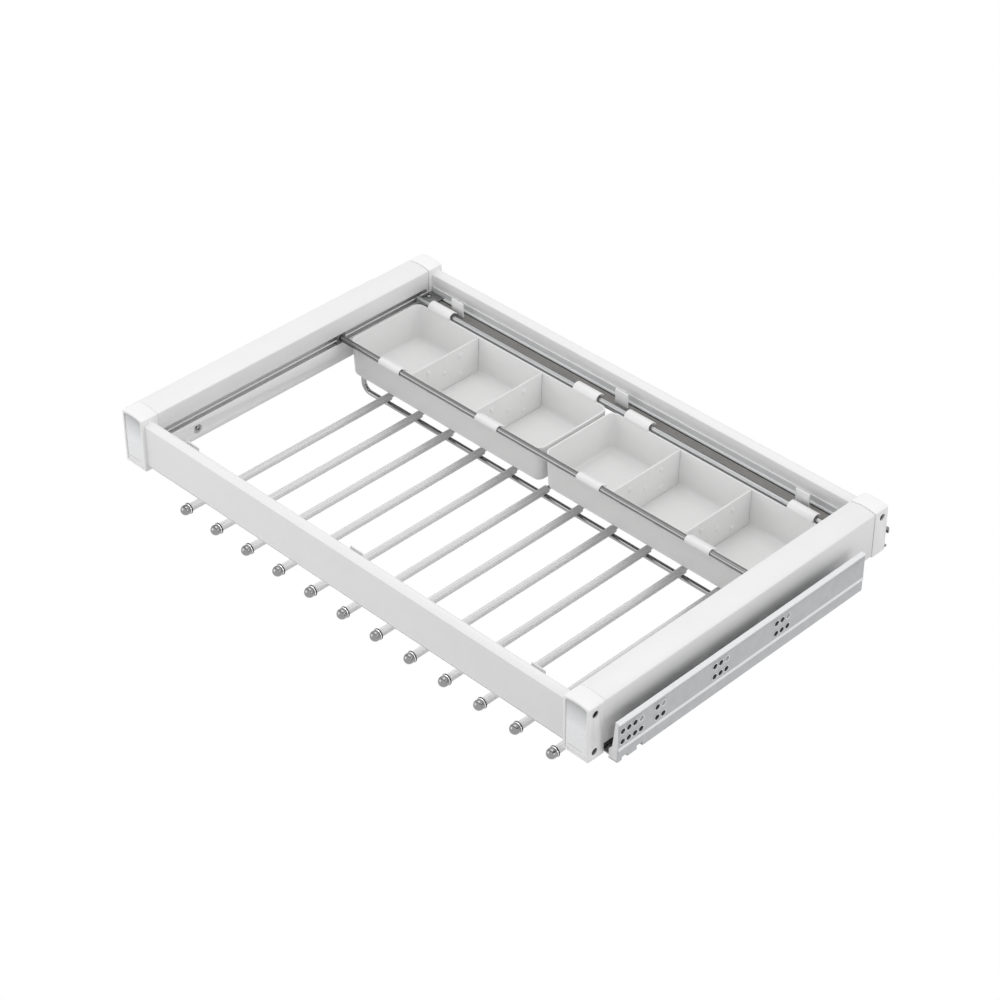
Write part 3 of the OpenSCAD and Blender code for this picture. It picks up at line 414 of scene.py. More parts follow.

# %% [markdown]
# ## Zones of another tone, and of painted light
# Some pieces change along a straight line. The tray rail is pale at its rear edge, the top of
# its upright is a painted highlight and its slot is painted nearly black as shade. The
# runner's top edge and outermost faces are painted highlights. Behind each ball the ring is a
# painted reflection, nearly white, and the collar is painted nearly black as shade. Each is
# one piece on the real rack, so it isn't cut apart here. A mask compares the piece's own
# coordinate with a limit and mixes two greys there, which stays sharp at any distance.

# %% Define the zones
COLOUR_A, COLOUR_B, COLOUR_OUT = 6, 7, 2  # the colour sockets of a Mix node
NUMBER_A, NUMBER_B, NUMBER_OUT = 2, 3, 0  # and its number sockets


def paint_tone_and_light_beyond(finish, axis, limit, level, metal, compare="GREATER_THAN"):
    """Paints what lies beyond a limit in metres, for another tone and for painted highlights and
    shade. Along X it counts to both sides.
    """
    tree = FINISHES[finish].node_tree
    shader = tree.nodes["Principled BSDF"]
    place = node_of(tree, "ShaderNodeTexCoord")
    split = node_of(tree, "ShaderNodeSeparateXYZ")
    beyond = node_of(tree, "ShaderNodeMath", operation=compare)
    beyond.inputs[1].default_value = limit
    grey = node_of(tree, "ShaderNodeMix", data_type="RGBA")
    grey.inputs[COLOUR_B].default_value = shade(level, -1)
    sheen = node_of(tree, "ShaderNodeMix")
    sheen.inputs[NUMBER_A].default_value = shader.inputs["Metallic"].default_value
    sheen.inputs[NUMBER_B].default_value = metal
    tree.links.new(shader.inputs["Base Color"].links[0].from_socket, grey.inputs[COLOUR_A])
    for earlier in shader.inputs["Metallic"].links:
        tree.links.new(earlier.from_socket, sheen.inputs[NUMBER_A])
    link(tree, place, "Object", split, "Vector")
    if axis == "X":
        even = node_of(tree, "ShaderNodeMath", operation="ABSOLUTE")
        link(tree, split, axis, even, 0)
        link(tree, even, 0, beyond, 0)
    else:
        link(tree, split, axis, beyond, 0)
    link(tree, beyond, 0, grey, 0)
    link(tree, beyond, 0, sheen, 0)
    link(tree, grey, COLOUR_OUT, shader, "Base Color")
    link(tree, sheen, NUMBER_OUT, shader, "Metallic")


print("zones ready")

# %% [markdown]
# ## Dressing a piece
# Every new piece gets a finish and the body that it moves with, and the imported nodes
# that it stands for are hidden.


def dress(piece, body, finish, *nodes):
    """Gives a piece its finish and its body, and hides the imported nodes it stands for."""
    piece.data.materials.clear()
    piece.data.materials.append(FINISHES[finish])
    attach(piece, body)
    if nodes:
        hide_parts(*nodes)
    return piece


def dress_pair(right, left_name, body, finish, node, shift=None):
    """Dresses a right piece and its left twin, which is mirrored unless it is shifted."""
    left = copy_of(right, left_name, shift or (0, 0, 0), mirrored=shift is None)
    dress(right, body, finish, node + "_right")
    dress(left, body, finish, node + "_left")


# %% [markdown]
# ## The side rails' crown
# A side rail's top is gently crowned and rounds off at both edges. The corner blocks
# repeat the same curve, a little inside it for the recess and the plate. One function
# draws it at any inset, so the steps between rail, block and plate stay even.

# %% Draw the crown
WIDTH = X_OUT - X_IN
MID = (X_IN + X_OUT) / 2
CROWN_R = ((WIDTH / 2) ** 2 + CROWN**2) / (2 * CROWN)


def crown(inset=0.0, corner=1.5, steps=14):
    """The rail's top from right to left, with its round corners, in X and Z."""
    r = CROWN_R - inset
    low = CROWN - CROWN_R
    reach = WIDTH / 2 - inset - corner
    swing = math.degrees(math.asin(reach / r))
    right = arc(X_OUT - inset - corner, -inset - corner, corner, 0, 78, 4)
    left = arc(X_IN + inset + corner, -inset - corner, corner, 102, 180, 4)
    return right + arc(MID, low, r, 90 - swing, 90 + swing, steps)[1:-1] + left


print(f"crown radius {CROWN_R:.0f} mm")

# %% [markdown]
# ## Side rails
# A side rail is an aluminium profile with a slot along its inner face and an open channel
# below, in which the runner hides. The slot opens into a hollow, as in the real profile,
# and that is why it looks dark: little light finds its way out. A thin fin runs along the
# slot, and a round pocket near the front holds the screw that clamps the runner.

# %% Press the side rails
SLOT_FOOT = -37.9
SLOT_TOP = -24.7
SLOT_LIP = 1.4
HOLLOW_X, HOLLOW_TOP, HOLLOW_FOOT = X_IN + 16, -20, -47
WALL = 1.8
CHANNEL_TOP = -57.6
INNER_FOOT, OUTER_FOOT = -64.3, -59
FIN = rectangle(X_IN + 0.2, -31.9, X_IN + 1.6, -30.5)
POCKET_Y, POCKET_Z, POCKET_R = 81.6, -51, 6.1

slot = [(X_IN, SLOT_TOP), (X_IN + SLOT_LIP, SLOT_TOP), (X_IN + SLOT_LIP, HOLLOW_TOP),
        (HOLLOW_X, HOLLOW_TOP), (HOLLOW_X, HOLLOW_FOOT), (X_IN + SLOT_LIP, HOLLOW_FOOT),
        (X_IN + SLOT_LIP, SLOT_FOOT), (X_IN, SLOT_FOOT)]
channel = [(X_IN, INNER_FOOT), (X_IN + WALL, INNER_FOOT), (X_IN + WALL, CHANNEL_TOP),
           (X_OUT - WALL, CHANNEL_TOP), (X_OUT - WALL, OUTER_FOOT), (X_OUT, OUTER_FOOT)]
rail = pressed("side_rail_body_right", crown() + slot + channel, "y", BLOCK,
               Y_END - 2 * BLOCK)
drill(rail, [cutter("pocket", at(X_IN, POCKET_Y, POCKET_Z), "x", POCKET_R, 11, 40)])
soften(rail, 0.25)
fin = pressed("fin", FIN, "y", BLOCK - 0.5, Y_END - 2 * BLOCK + 1)
rail = joined("side_rail_body_right", [rail, soften(fin, 0.3)])
dress_pair(rail, "side_rail_body_left", "rack", "rail_paint", "side_rail")
print("side rail faces:", len(rail.data.polygons))

# %% [markdown]
# ## Front and rear rails
# The cross rails are thinner and stand a little below the side rails. Their top rises from
# a crisp front edge to a round back edge. The face to the inside has a groove with a fin,
# and a fine line runs along the foot of the other face. Both rails are the same profile,
# turned round for the rear, but their tops lean the same way.

# %% Press the cross rails
CROSS_T = 13.4  # thickness
CROSS_FOOT = -65
SETBACK = 3.7  # how far they stand behind the blocks' faces
GROOVE_TOP, GROOVE_DEEP = -26.6, 5.5
FOOT_LINE = [(0, CROSS_FOOT), (0, -64.7), (4, -64.7), (4, -63.3), (-0.3, -63.3),
             (-0.3, -62.7), (0, -62.3)]


def double_groove(face, deep):
    """A groove with a thin fin in it, from top to bottom, as (Y, Z) pairs."""
    fin = (GROOVE_TOP + SLOT_FOOT) / 2
    lip = face + math.copysign(0.3, deep)
    return [(face, GROOVE_TOP), (face + deep, GROOVE_TOP), (face + deep, fin + 0.5),
            (lip, fin + 0.5), (lip, fin - 0.5), (face + deep, fin - 0.5),
            (face + deep, SLOT_FOOT), (face, SLOT_FOOT)]


def cross_outline(near, groove_behind):
    """Outline in Y and Z of the rail whose front face is at near."""
    far = near + CROSS_T
    crest = arc(near + 0.8, -9.2, 0.8, 180, 118, 3) + [(near + 6.4, -5.25)] + arc(
        far - 5, -9.7, 5, 90, 0, 8)
    if groove_behind:
        front_side = [(near + a, b) for a, b in FOOT_LINE]
        back_side = double_groove(far, -GROOVE_DEEP) + [(far, CROSS_FOOT)]
    else:
        front_side = [(near, CROSS_FOOT)] + double_groove(near, GROOVE_DEEP)[::-1]
        back_side = [(far - a, b) for a, b in FOOT_LINE[::-1]]
    return front_side + crest + back_side


for name, near, groove_behind in (("front", SETBACK, True),
                                  ("rear", Y_END - SETBACK - CROSS_T, False)):
    outline = cross_outline(near, groove_behind)
    cross = pressed(name + "_rail_body", outline, "x", -X_IN, 2 * X_IN)
    dress(soften(cross, 0.2), "rack", "rail_paint", name + "_rail")
    print(name, "rail faces:", len(cross.data.polygons))

# %% [markdown]
# ## Front corner blocks
# Each front corner is a moulded block. Its face is a rim round a recess, and the recess's
# upper edge follows the crown. A block is pulled out ring by ring: straight to the rounded
# edge, round the edge, across the rim and down into the recess. A bevel would do for a
# square block, but it tears at the many short edges of a crown. The block is hollow, as
# moulded parts are, and two access holes in its outer side lead to the corner screws.

# %% Define a pull in rings
def lofted(name, rings):
    """Pulls a face out ring by ring. Each ring holds the next places of its corners."""
    only(None)
    bpy.ops.mesh.primitive_circle_add(vertices=len(rings[0]), fill_type="NGON")
    obj = bpy.context.object
    obj.name = name
    for vertex, place in zip(obj.data.vertices, rings[0]):
        vertex.co = place
    bpy.ops.object.mode_set(mode="EDIT")
    bpy.ops.mesh.select_all(action="SELECT")
    for old, new in zip(rings, rings[1:]):
        bpy.ops.mesh.extrude_region_move()
        mesh = bmesh.from_edit_mesh(obj.data)
        for vertex in [v for v in mesh.verts if v.select]:
            nearest = min(range(len(old)), key=lambda i: (old[i] - vertex.co).length)
            vertex.co = new[nearest]
        bmesh.update_edit_mesh(obj.data)
    outward()
    return obj


def block_ring(y, inset, low):
    """The block's outline at a depth, drawn in by an inset, with its foot at low."""
    outline = crown(inset, max(0.7, 1.5 - inset / 2)) + [
        (X_IN + inset, low + inset), (X_OUT - inset, low + inset)]
    return [at(a, y, b) for a, b in outline]


print("points in a ring:", len(block_ring(0, 0, 0)))

# %% Mould the front blocks
FRONT_FOOT = -72.2
SCREW_HIGH, SCREW_LOW = -10.9, -62  # heights of the screws that hold the cross rails
HOLE_Y = SETBACK + CROSS_T / 2
HOLE_R = 4.4
ROUND = 1.1
RIM = 3.2
RECESS_Y = 2.2
SEAT_X = X_IN + 13  # the inner wall of a block's hollow, on which its screws sit

block_steps = [(BLOCK, 0.8), (BLOCK - 0.5, 0)] + arc(ROUND, ROUND, ROUND, 270, 180, 5) + arc(
    0.35, RIM - 0.35, 0.35, 180, 90, 4) + [(RECESS_Y, RIM)]
block = lofted("front_corner_right", [block_ring(y, a, FRONT_FOOT) for y, a in block_steps])
drill(block, [box_cutter("hollow", (SEAT_X, 3.6, -69), (X_OUT - 2, BLOCK - 1.6, -3.4))])
drill(block, [cutter("hole", at(X_OUT, HOLE_Y, z), "x", HOLE_R, 8)
              for z in (SCREW_HIGH, SCREW_LOW)])
soften(block, 0.3)
dress_pair(block, "front_corner_left", "rack", "block_plastic", "front_block")
print("front block rings:", len(block_steps))

# %% [markdown]
# ## The front plates
# The plate in the recess follows the same crown, and a thin line is pressed into its foot.
# The plates are bright silver, painted grey at the top and nearly white at the foot. That run
# of tone is painted light: painted shade under the rim at the top, fading towards the foot. It
# is painted by height on the plate, and no lamp makes it.

# %% Mix the silver with its painted shade and press the plates
def silver_with_painted_shade(low, high):
    """Silver that runs through four greys between two heights in metres, darker at the top as
    painted shade under the rim.
    """
    material = finish_for("plate_metal", 225, 0.3, metal=0.2, drift=0.02, coat=0.4, relief=0)
    tree = material.node_tree
    place = node_of(tree, "ShaderNodeTexCoord")
    split = node_of(tree, "ShaderNodeSeparateXYZ")
    height = node_of(tree, "ShaderNodeMapRange")
    height.inputs["From Min"].default_value = low
    height.inputs["From Max"].default_value = high
    ramp = node_of(tree, "ShaderNodeValToRGB")
    # painted shade: the greys run darker towards the top, under the rim of the recess
    ramp.color_ramp.elements[0].color = shade(243)
    ramp.color_ramp.elements[1].color = shade(186, -1)
    ramp.color_ramp.elements.new(0.55).color = shade(245, -1.5)
    ramp.color_ramp.elements.new(0.84).color = shade(218, -1.5)
    link(tree, place, "Object", split, "Vector")
    link(tree, split, "Z", height, "Value")
    link(tree, height, "Result", ramp, "Fac")
    link(tree, ramp, "Color", tree.nodes["Principled BSDF"], "Base Color")
    return material


plate_low, plate_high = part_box("front_plate_right")
FINISHES["plate_metal"] = silver_with_painted_shade(plate_low.z, plate_high.z)
PLATE_Y = 1.35
PLATE_EDGE = 0.45
gap = RIM + 0.3
plate_steps = [(2.1, gap), (PLATE_Y, gap)] + arc(
    PLATE_Y, gap + PLATE_EDGE, PLATE_EDGE, 270, 180, 4)
plate = lofted("silver_plate_right", [block_ring(y, a, FRONT_FOOT) for y, a in plate_steps])
drill(plate, [box_cutter("line", (X_IN + 6.5, 0, -63.3), (X_OUT - 8.8, 1.9, -62.1))])
dress_pair(smooth(plate), "silver_plate_left", "rack", "plate_metal", "front_plate",
           (-2 * MID, 0, 0))
print("silver runs over", round((plate_high.z - plate_low.z) / MM, 1), "mm")

# %% [markdown]
# ## Rear corner blocks
# The rear blocks end higher, so that the runner passes under them, and a shadow gap parts
# them from the side rails. The gap is a narrower neck between the rail and the block.
# Screws enter from behind, in deep counterbores.

# %% Mould the rear blocks
REAR_FOOT = -61.8
REAR_ROUND = 1.3
NECK, NECK_INSET = 1.8, 3.2
PORT_X = X_OUT - 3.85
PORT_HEIGHTS = (-22, -48)

rear_steps = [(BLOCK - NECK, 0)] + arc(REAR_ROUND, REAR_ROUND, REAR_ROUND, 270, 180, 5)
rear = lofted("rear_corner_right",
              [block_ring(Y_END - y, inset, REAR_FOOT) for y, inset in rear_steps])
drill(rear, [box_cutter("hollow", (SEAT_X, Y_END - BLOCK + 2.8, -58),
                        (X_OUT - 2, Y_END - 5.8, -3.4))])
drill(rear, [cutter("hole", at(PORT_X, Y_END, z), "y", 3.65, 10.4) for z in PORT_HEIGHTS])
drill(rear, [cutter("hole", at(X_OUT, Y_END - HOLE_Y, SCREW_HIGH), "x", HOLE_R, 8)])
soften(rear, 0.3)
neck = lofted("neck", [block_ring(y, NECK_INSET, REAR_FOOT) for y in
                       (Y_END - BLOCK, Y_END - BLOCK + NECK + 0.4)])
rear = joined("rear_corner_right", [rear, neck])
dress_pair(rear, "rear_corner_left", "rack", "block_plastic", "rear_block")
print("rear block faces:", len(rear.data.polygons))

# %% [markdown]
# ## Trays
# The trays are thin boxes with generous corners that narrow a little towards the floor, so
# that they leave their mould. One starts as a cube. Its foot is drawn in, the upright
# edges get a wide bevel and the floor's edges a smaller one, the lid comes off, and
# Solidify gives the shell its wall from the outside in.

# %% Mould the trays
(tx0, tx1), (ty0, ty1), (tz0, tz1) = (2.8, 332.5), (319.2, 438.2), (-82.4, -31)
DRAFT = 1.7
TRAY_CORNER, TRAY_FLOOR_EDGE = 10.5, 6.5
TRAY_WALL = 2

tray = box_cutter("tray_shell_right", (tx0, ty0, tz0), (tx1, ty1, tz1))
foot = at(0, 0, tz0).z
middle = at((tx0 + tx1) / 2, (ty0 + ty1) / 2, 0)
for vertex in tray.data.vertices:
    if abs(vertex.co.z - foot) < 1e-6:
        vertex.co.x -= math.copysign(DRAFT * MM, vertex.co.x - middle.x)
        vertex.co.y -= math.copysign(DRAFT * MM, vertex.co.y - middle.y)
choose(tray, "EDGE", lambda e: abs(e.verts[0].co.z - e.verts[1].co.z) > 0.01)
bpy.ops.mesh.bevel(offset=TRAY_CORNER * MM, segments=10, affect="EDGES")
choose(tray, "EDGE", lambda e: all(abs(v.co.z - foot) < 1e-6 for v in e.verts))
bpy.ops.mesh.bevel(offset=TRAY_FLOOR_EDGE * MM, segments=7, affect="EDGES")
choose(tray, "FACE", lambda f: f.normal.z > 0.99 and f.calc_center_median().z > foot + 0.03)
bpy.ops.mesh.delete(type="FACE")
finish_with(tray, "SOLIDIFY", thickness=TRAY_WALL * MM, offset=-1, use_even_offset=True)
soften(tray, 0.3, angle=50)
tray_left = copy_of(tray, "tray_shell_left", mirrored=True)
dress(tray, "right_tray", "tray_plastic", "tray_right")
dress(tray_left, "left_tray", "tray_plastic", "tray_left")
print("tray triangles:", sum(len(p.vertices) - 2 for p in tray.data.polygons))

# %% [markdown]
# ## Dividers
# Two dividers stand in each tray. Each is a thin plate cut to the tray's section, with
# five small buttons on its right side, four in the corners and one in the middle. A button
# is a low dome. Round parts like it are drawn as half a section and spun about their axis,
# and the faces are turned outwards afterwards, because a spin can leave them inside out.

# %% Define a turned part
def turned(name, profile, origin, axis, steps=40):
    """Spins a profile of (distance along the axis, radius) in mm about an axis at a point."""
    along = Vector(axis)
    side = along.orthogonal().normalized()
    only(None)
    bpy.ops.mesh.primitive_circle_add(vertices=len(profile), fill_type="NOTHING")
    obj = bpy.context.object
    obj.name = name
    for vertex, (distance, radius) in zip(obj.data.vertices, profile):
        vertex.co = origin + (along * distance + side * radius) * MM
    last = len(profile) - 1
    choose(obj, "EDGE", lambda e: {e.verts[0].index, e.verts[1].index} == {0, last})
    bpy.ops.mesh.delete(type="EDGE_FACE")
    bpy.ops.mesh.select_all(action="SELECT")
    bpy.ops.mesh.spin(steps=steps, angle=math.tau, center=origin, axis=along)
    bpy.ops.mesh.select_all(action="SELECT")
    bpy.ops.mesh.remove_doubles(threshold=1e-6)
    outward()
    return smooth(obj)


print("turning ready")

# %% Cut the dividers and set their buttons
PLATE_T = 2
DIVIDER_CORNER = 5.5
BUTTON = [(-0.2, 3.6), (0.5, 3.5), (1.3, 2.9), (1.8, 1.7), (2, 0)]
BUTTON_SPOTS = [(0.255, 0.735), (0.71, 0.735), (0.48, 0.48), (0.255, 0.225), (0.71, 0.225)]


def divider_outline():
    """The tray's section inside its walls, in Y and Z."""
    low, high = ty0 + 2.4, ty1 - 2.4
    centre_z = tz0 + 2.2 + DIVIDER_CORNER
    near, far = low + DRAFT - 0.1 + DIVIDER_CORNER, high - DRAFT + 0.1 - DIVIDER_CORNER
    return [(high, -31.2), (low, -31.2)] + arc(
        near, centre_z, DIVIDER_CORNER, 180, 270) + arc(far, centre_z, DIVIDER_CORNER, 270, 360)


def divider_piece(name, x):
    wall = pressed(name, divider_outline(), "x", x - PLATE_T / 2, PLATE_T)
    parts = [soften(wall, 0.45, segments=3)]
    for across, up in BUTTON_SPOTS:
        spot = at(x + PLATE_T / 2, ty0 + across * (ty1 - ty0), tz0 + 2 + up * (tz1 - tz0))
        parts.append(turned("button", BUTTON, spot, (1, 0, 0), 20))
    return joined(name, parts)


for i, share in enumerate((-2 / 3, -1 / 3, 1 / 3, 2 / 3)):
    x = math.copysign(tx0, share) + share * (tx1 - tx0)
    name = f"divider_{i + 1}"
    dress(divider_piece(f"tray_{name}", x), "left_tray" if x < 0 else "right_tray",
          "tray_plastic", name)
print("dividers: 4, with", len(BUTTON_SPOTS), "buttons each")

# %% [markdown]
# ## Hooks
# White plastic hooks carry the trays. The front ones are straps bent over the tray bar,
# with a tongue inside the tray, and the rear ones are half tubes that sit on the bead of
# the tray rail, with two ribs inside. All are thin shells of one section, so each is an
# outline pulled out along the rack.

# %% Form the hooks
BAR_Y, BAR_Z = 314.3, -30.5
BEAD_Y, BEAD_Z = 443.8, -31
STRAP_W, CUP_W = 36.3, 38.3
HOOKS_FROM, HOOKS_SPAN = 4.3, 328.2  # the stretch along X that the shares are taken of
BAR_R = 4  # the tray bar and the bead are equally thick
STRAP_IN, STRAP_OUT = BAR_R + 0.2, 5.5
CUP_IN, CUP_OUT = 6.9, 8.2
STRAP_SHARES, CUP_SHARES = (0.24, 0.751), (0.1155, 0.8824)


def about(y, z, outline):
    """An outline moved to a point in Y and Z."""
    return [(y + a, z + b) for a, b in outline]


strap = about(BAR_Y, BAR_Z, [(-STRAP_OUT, -1.2), (-STRAP_IN, -1.2)]
              + arc(0, 0, STRAP_IN, 180, 0, 14)
              + [(STRAP_IN, -2.6), (5.9, -2.6), (5.9, -12), (7.5, -12), (7.5, -0.5),
                 (9.5, -0.5), (9.5, 0.8)] + arc(0, 0, STRAP_OUT, 78, 180, 10))
cup = about(BEAD_Y, BEAD_Z, arc(0, 0, CUP_OUT, 30, 180, 24) + [
    (-6.2, 0), (-6.2, -11), (-4.9, -11), (-4.9, 3)] + arc(0, 0, CUP_IN, 150, 30, 18))
rib = about(BEAD_Y, BEAD_Z, arc(0, 0, CUP_IN + 0.2, 32, 145, 12)
            + arc(0, 0, BAR_R + 0.2, 145, 32, 12))
for side, sign in (("left", -1), ("right", 1)):
    straps, cups = [], []
    for share in STRAP_SHARES:
        x = sign * (HOOKS_FROM + share * HOOKS_SPAN)
        form = pressed("strap", strap, "x", x - STRAP_W / 2, STRAP_W)
        straps.append(soften(form, 0.35, segments=3))
    for share in CUP_SHARES:
        x = sign * (HOOKS_FROM + share * HOOKS_SPAN)
        form = pressed("cup", cup, "x", x - CUP_W / 2, CUP_W)
        cups.append(soften(form, 0.4, segments=3))
        cups += [pressed("rib", rib, "x", x + off * CUP_W - 1, 2) for off in (-0.25, 0.25)]
    dress(joined(f"{side}_straps", straps), f"{side}_tray", "clip_plastic", f"{side}_front_hooks")
    dress(joined(f"{side}_cups", cups), f"{side}_tray", "clip_plastic", f"{side}_rear_hooks")
print("hooks: 4 straps and 4 cups")

# %% [markdown]
# ## Clips
# Short white clips stand upright on the tray rail and behind the front rail, three in a
# row. The rear ones rest on the tray rail with a small foot, and the front ones reach into
# the front rail's groove. They are outlines again, each pulled out by a clip's width.

# %% Form the clips
CLIP_W = 20
CLIP_PLACES = (-280.5, 0, 280.5)
CLIP_TOP = -14.3


def clip_row(name, outline, node):
    row = [soften(pressed("clip", outline, "x", x - CLIP_W / 2, CLIP_W), 0.3)
           for x in CLIP_PLACES]
    print(name, "has", len(row), "clips")
    return dress(joined(name, row), "rack", "clip_plastic", node)


rear_y = BEAD_Y + 12.4
clip_row("rear_clip_row", [
    (rear_y, -33.9), (rear_y + 3, -33.9), (rear_y + 3, -33.4), (rear_y + 1.8, -33.2),
    (rear_y + 1.8, CLIP_TOP), (rear_y, CLIP_TOP)], "rear_clips")
clip_row("front_clip_row", [
    (11.7, SLOT_FOOT), (27.3, SLOT_FOOT), (27.3, CLIP_TOP), (25.5, CLIP_TOP),
    (25.5, SLOT_FOOT + 1.8), (11.7, SLOT_FOOT + 1.8)], "front_clips")

# %% [markdown]
# ## Tray bar and tray rail
# The trays hang between a round chrome bar in front and a pressed rail behind. The rail is
# finely ribbed along its top, with a slot, a bead in front and an upright edge behind. The
# ribs are part of its outline, so light breaks on real edges and not on a painted stripe, but
# the upright's top edge is a painted highlight and the slot is painted nearly black as shade.
# Bar and bead have shallow flutes, which show as thin dark lines in the polished metal.

# %% Press the tray bar and the tray rail
RAIL_TOP, RAIL_FOOT = -34, -37.9
RIBS, RIB_PITCH = 11, 1.3
LAST_RIB_Y = 463.9


def fluted(r, deep, wide, centres):
    """A circle with a groove of some degrees at each of the given angles."""
    outline = []
    for here, after in zip(centres, centres[1:] + [centres[0] + 360]):
        outline += arc(0, 0, r - deep, here - wide / 2, here + wide / 2, 2)
        outline += arc(0, 0, r, here + wide / 2, after - wide / 2,
                       max(3, round((after - here) / 9)))
    return outline


reach = X_IN + 4.8
bar = pressed("tray_bar_round", about(BAR_Y, BAR_Z, fluted(BAR_R, 0.6, 18, [100, 168, 300])),
              "x", -reach, 2 * reach)
dress(smooth(bar), "rack", "bar_steel", "tray_bar")
upright = [(475.2, RAIL_FOOT), (475.2, -34.8), (471.7, -34.4), (471.7, -25), (471.5, -24.8),
           (470.7, -24.8), (470.5, -25), (470.5, -33.6)]
ridge_and_slot = [(469.4, -34.3), (469, -33.5), (468.3, -33.5), (468, RAIL_TOP), (467.6, -37),
                  (464.8, -37), (464.6, RAIL_TOP)]
ribs = []
for i in range(RIBS):
    y = LAST_RIB_Y - RIB_PITCH * i
    ribs += [(y, RAIL_TOP), (y - 0.2, RAIL_TOP - 0.45), (y - 0.55, RAIL_TOP - 0.45),
             (y - 0.75, RAIL_TOP)]
nose = [(447, RAIL_TOP), (445, RAIL_TOP - 0.4), (BEAD_Y, RAIL_FOOT)]
half = X_IN - 1.5
strip = smooth(pressed("ribbed_strip", upright + ridge_and_slot + ribs + nose, "x", -half,
                       2 * half))
bead = smooth(pressed("bead", about(BEAD_Y, BEAD_Z, fluted(BAR_R, 1.1, 18, [76, 159, 300])),
                      "x", -half, 2 * half))
tray_rail = dress(joined("ribbed_tray_rail", [strip, bead]), "rack", "ribbed_aluminium",
                  "tray_rail")
paint_tone_and_light_beyond("ribbed_aluminium", "Y", at(0, 466.45, 0).y, 230, 0.1)  # the rear edge
# painted highlight: the upright's top edge, which faces up, is painted nearly white
paint_tone_and_light_beyond("ribbed_aluminium", "Z", at(0, 0, -25.6).z, 250, 0)  # the upright's top
# painted shade: the slot is painted nearly black
paint_tone_and_light_beyond("ribbed_aluminium", "Z", at(0, 0, -35.3).z, 50, 0.2, "LESS_THAN")  # the slot
paint_tone_and_light_beyond("ribbed_aluminium", "Y", at(0, 448, 0).y, 176, 0.85, "LESS_THAN")  # the bead
print("tray rail faces:", len(tray_rail.data.polygons))

# %% [markdown]
# ## Bars, sleeves and knobs
# Every trouser bar is a chrome rod in a soft white sleeve, with a ball on its front end and
# a ring and a flared collar behind the ball. The sleeve has fine flutes, so it is pressed.
# The rod and the knob are round all along, so they are turned. The finished parts are
# copied eleven times.

# %% Press and turn one bar and copy it
BARS = 12
BAR_MARGIN = 38.05  # from a side rail to the nearest bar
PITCH = (2 * X_IN - 2 * BAR_MARGIN) / (BARS - 1)
BARS_Z = -121.5
ROD_Y, SLEEVE_Y, KNOB_Y = 24, 31, 18.05
ROD_L, ROD_R, SLEEVE_L = 421, 3, 327
BALL_R = 6.5
RING_Y, COLLAR_Y = 9.5, 10.6  # behind the ball's front
first = -(BARS - 1) / 2 * PITCH

sleeve = smooth(pressed("sleeve", [(first + a, BARS_Z + b) for a, b in fluted(
    5, 0.4, 9, [23, 68, 203, 248])], "y", SLEEVE_Y, SLEEVE_L))
rod = turned("rod", [(0, 0), (0, 2.6), (0.4, ROD_R), (ROD_L - 0.6, ROD_R), (ROD_L, 2.4),
                     (ROD_L, 0)], at(first, ROD_Y, BARS_Z), (0, 1, 0), 28)
ball = [(0, 0)] + [(a + BALL_R, r) for a, r in arc(0, 0, BALL_R, 180, 64, 14)[1:]]
ring_and_collar = [(RING_Y, 6.3), (9.7, 6.6), (COLLAR_Y, 6.7), (10.7, 7.1), (11.9, 7.1),
                   (12.2, 6.8), (12.2, 3.6), (12.95, 3.6), (12.95, 3.1)]
knob = turned("knob", ball + ring_and_collar, at(first, KNOB_Y, BARS_Z), (0, 1, 0), 36)
rods, knobs = [rod], [knob]
for i in range(BARS):
    step = (i * PITCH, 0, 0)
    tube = copy_of(sleeve, f"sleeve_tube_{i + 1:02d}", step)
    dress(tube, "rack", "sleeve_plastic", f"sleeve_{i + 1:02d}")
    if i:
        rods.append(copy_of(rod, "rod", step))
        knobs.append(copy_of(knob, "knob", step))
bpy.data.objects.remove(sleeve)
dress(joined("chrome_rods", rods), "rack", "chrome", "trouser_rods")
dress(joined("chrome_knobs", knobs), "rack", "knob_chrome", "bar_knobs")
# painted reflection: the ring behind each ball is painted nearly white
paint_tone_and_light_beyond("knob_chrome", "Y", at(0, KNOB_Y + RING_Y, 0).y, 246, 0.6)
# painted shade: the collar behind the ring is painted nearly black
paint_tone_and_light_beyond("knob_chrome", "Y", at(0, KNOB_Y + COLLAR_Y, 0).y, 52, 0.7)
print(f"bars: {BARS}, {PITCH:.1f} mm apart")

# %% [markdown]
# ## Cross wires
# Two wires bent to a flat U hang from the side rails and carry the bars. Half a wire is one
# circle that is pushed along, swung round the bend and pushed up, and the other half
# mirrors it.

# %% Bend the cross wires
WIRE_X = X_IN + 5.7  # where the legs go up
WIRE_R, WIRE_BEND = 3.5, 12.5
FEET_Z = -59.6
WIRES = {"front": (354.7, -130.05), "rear": (439, -128.05)}


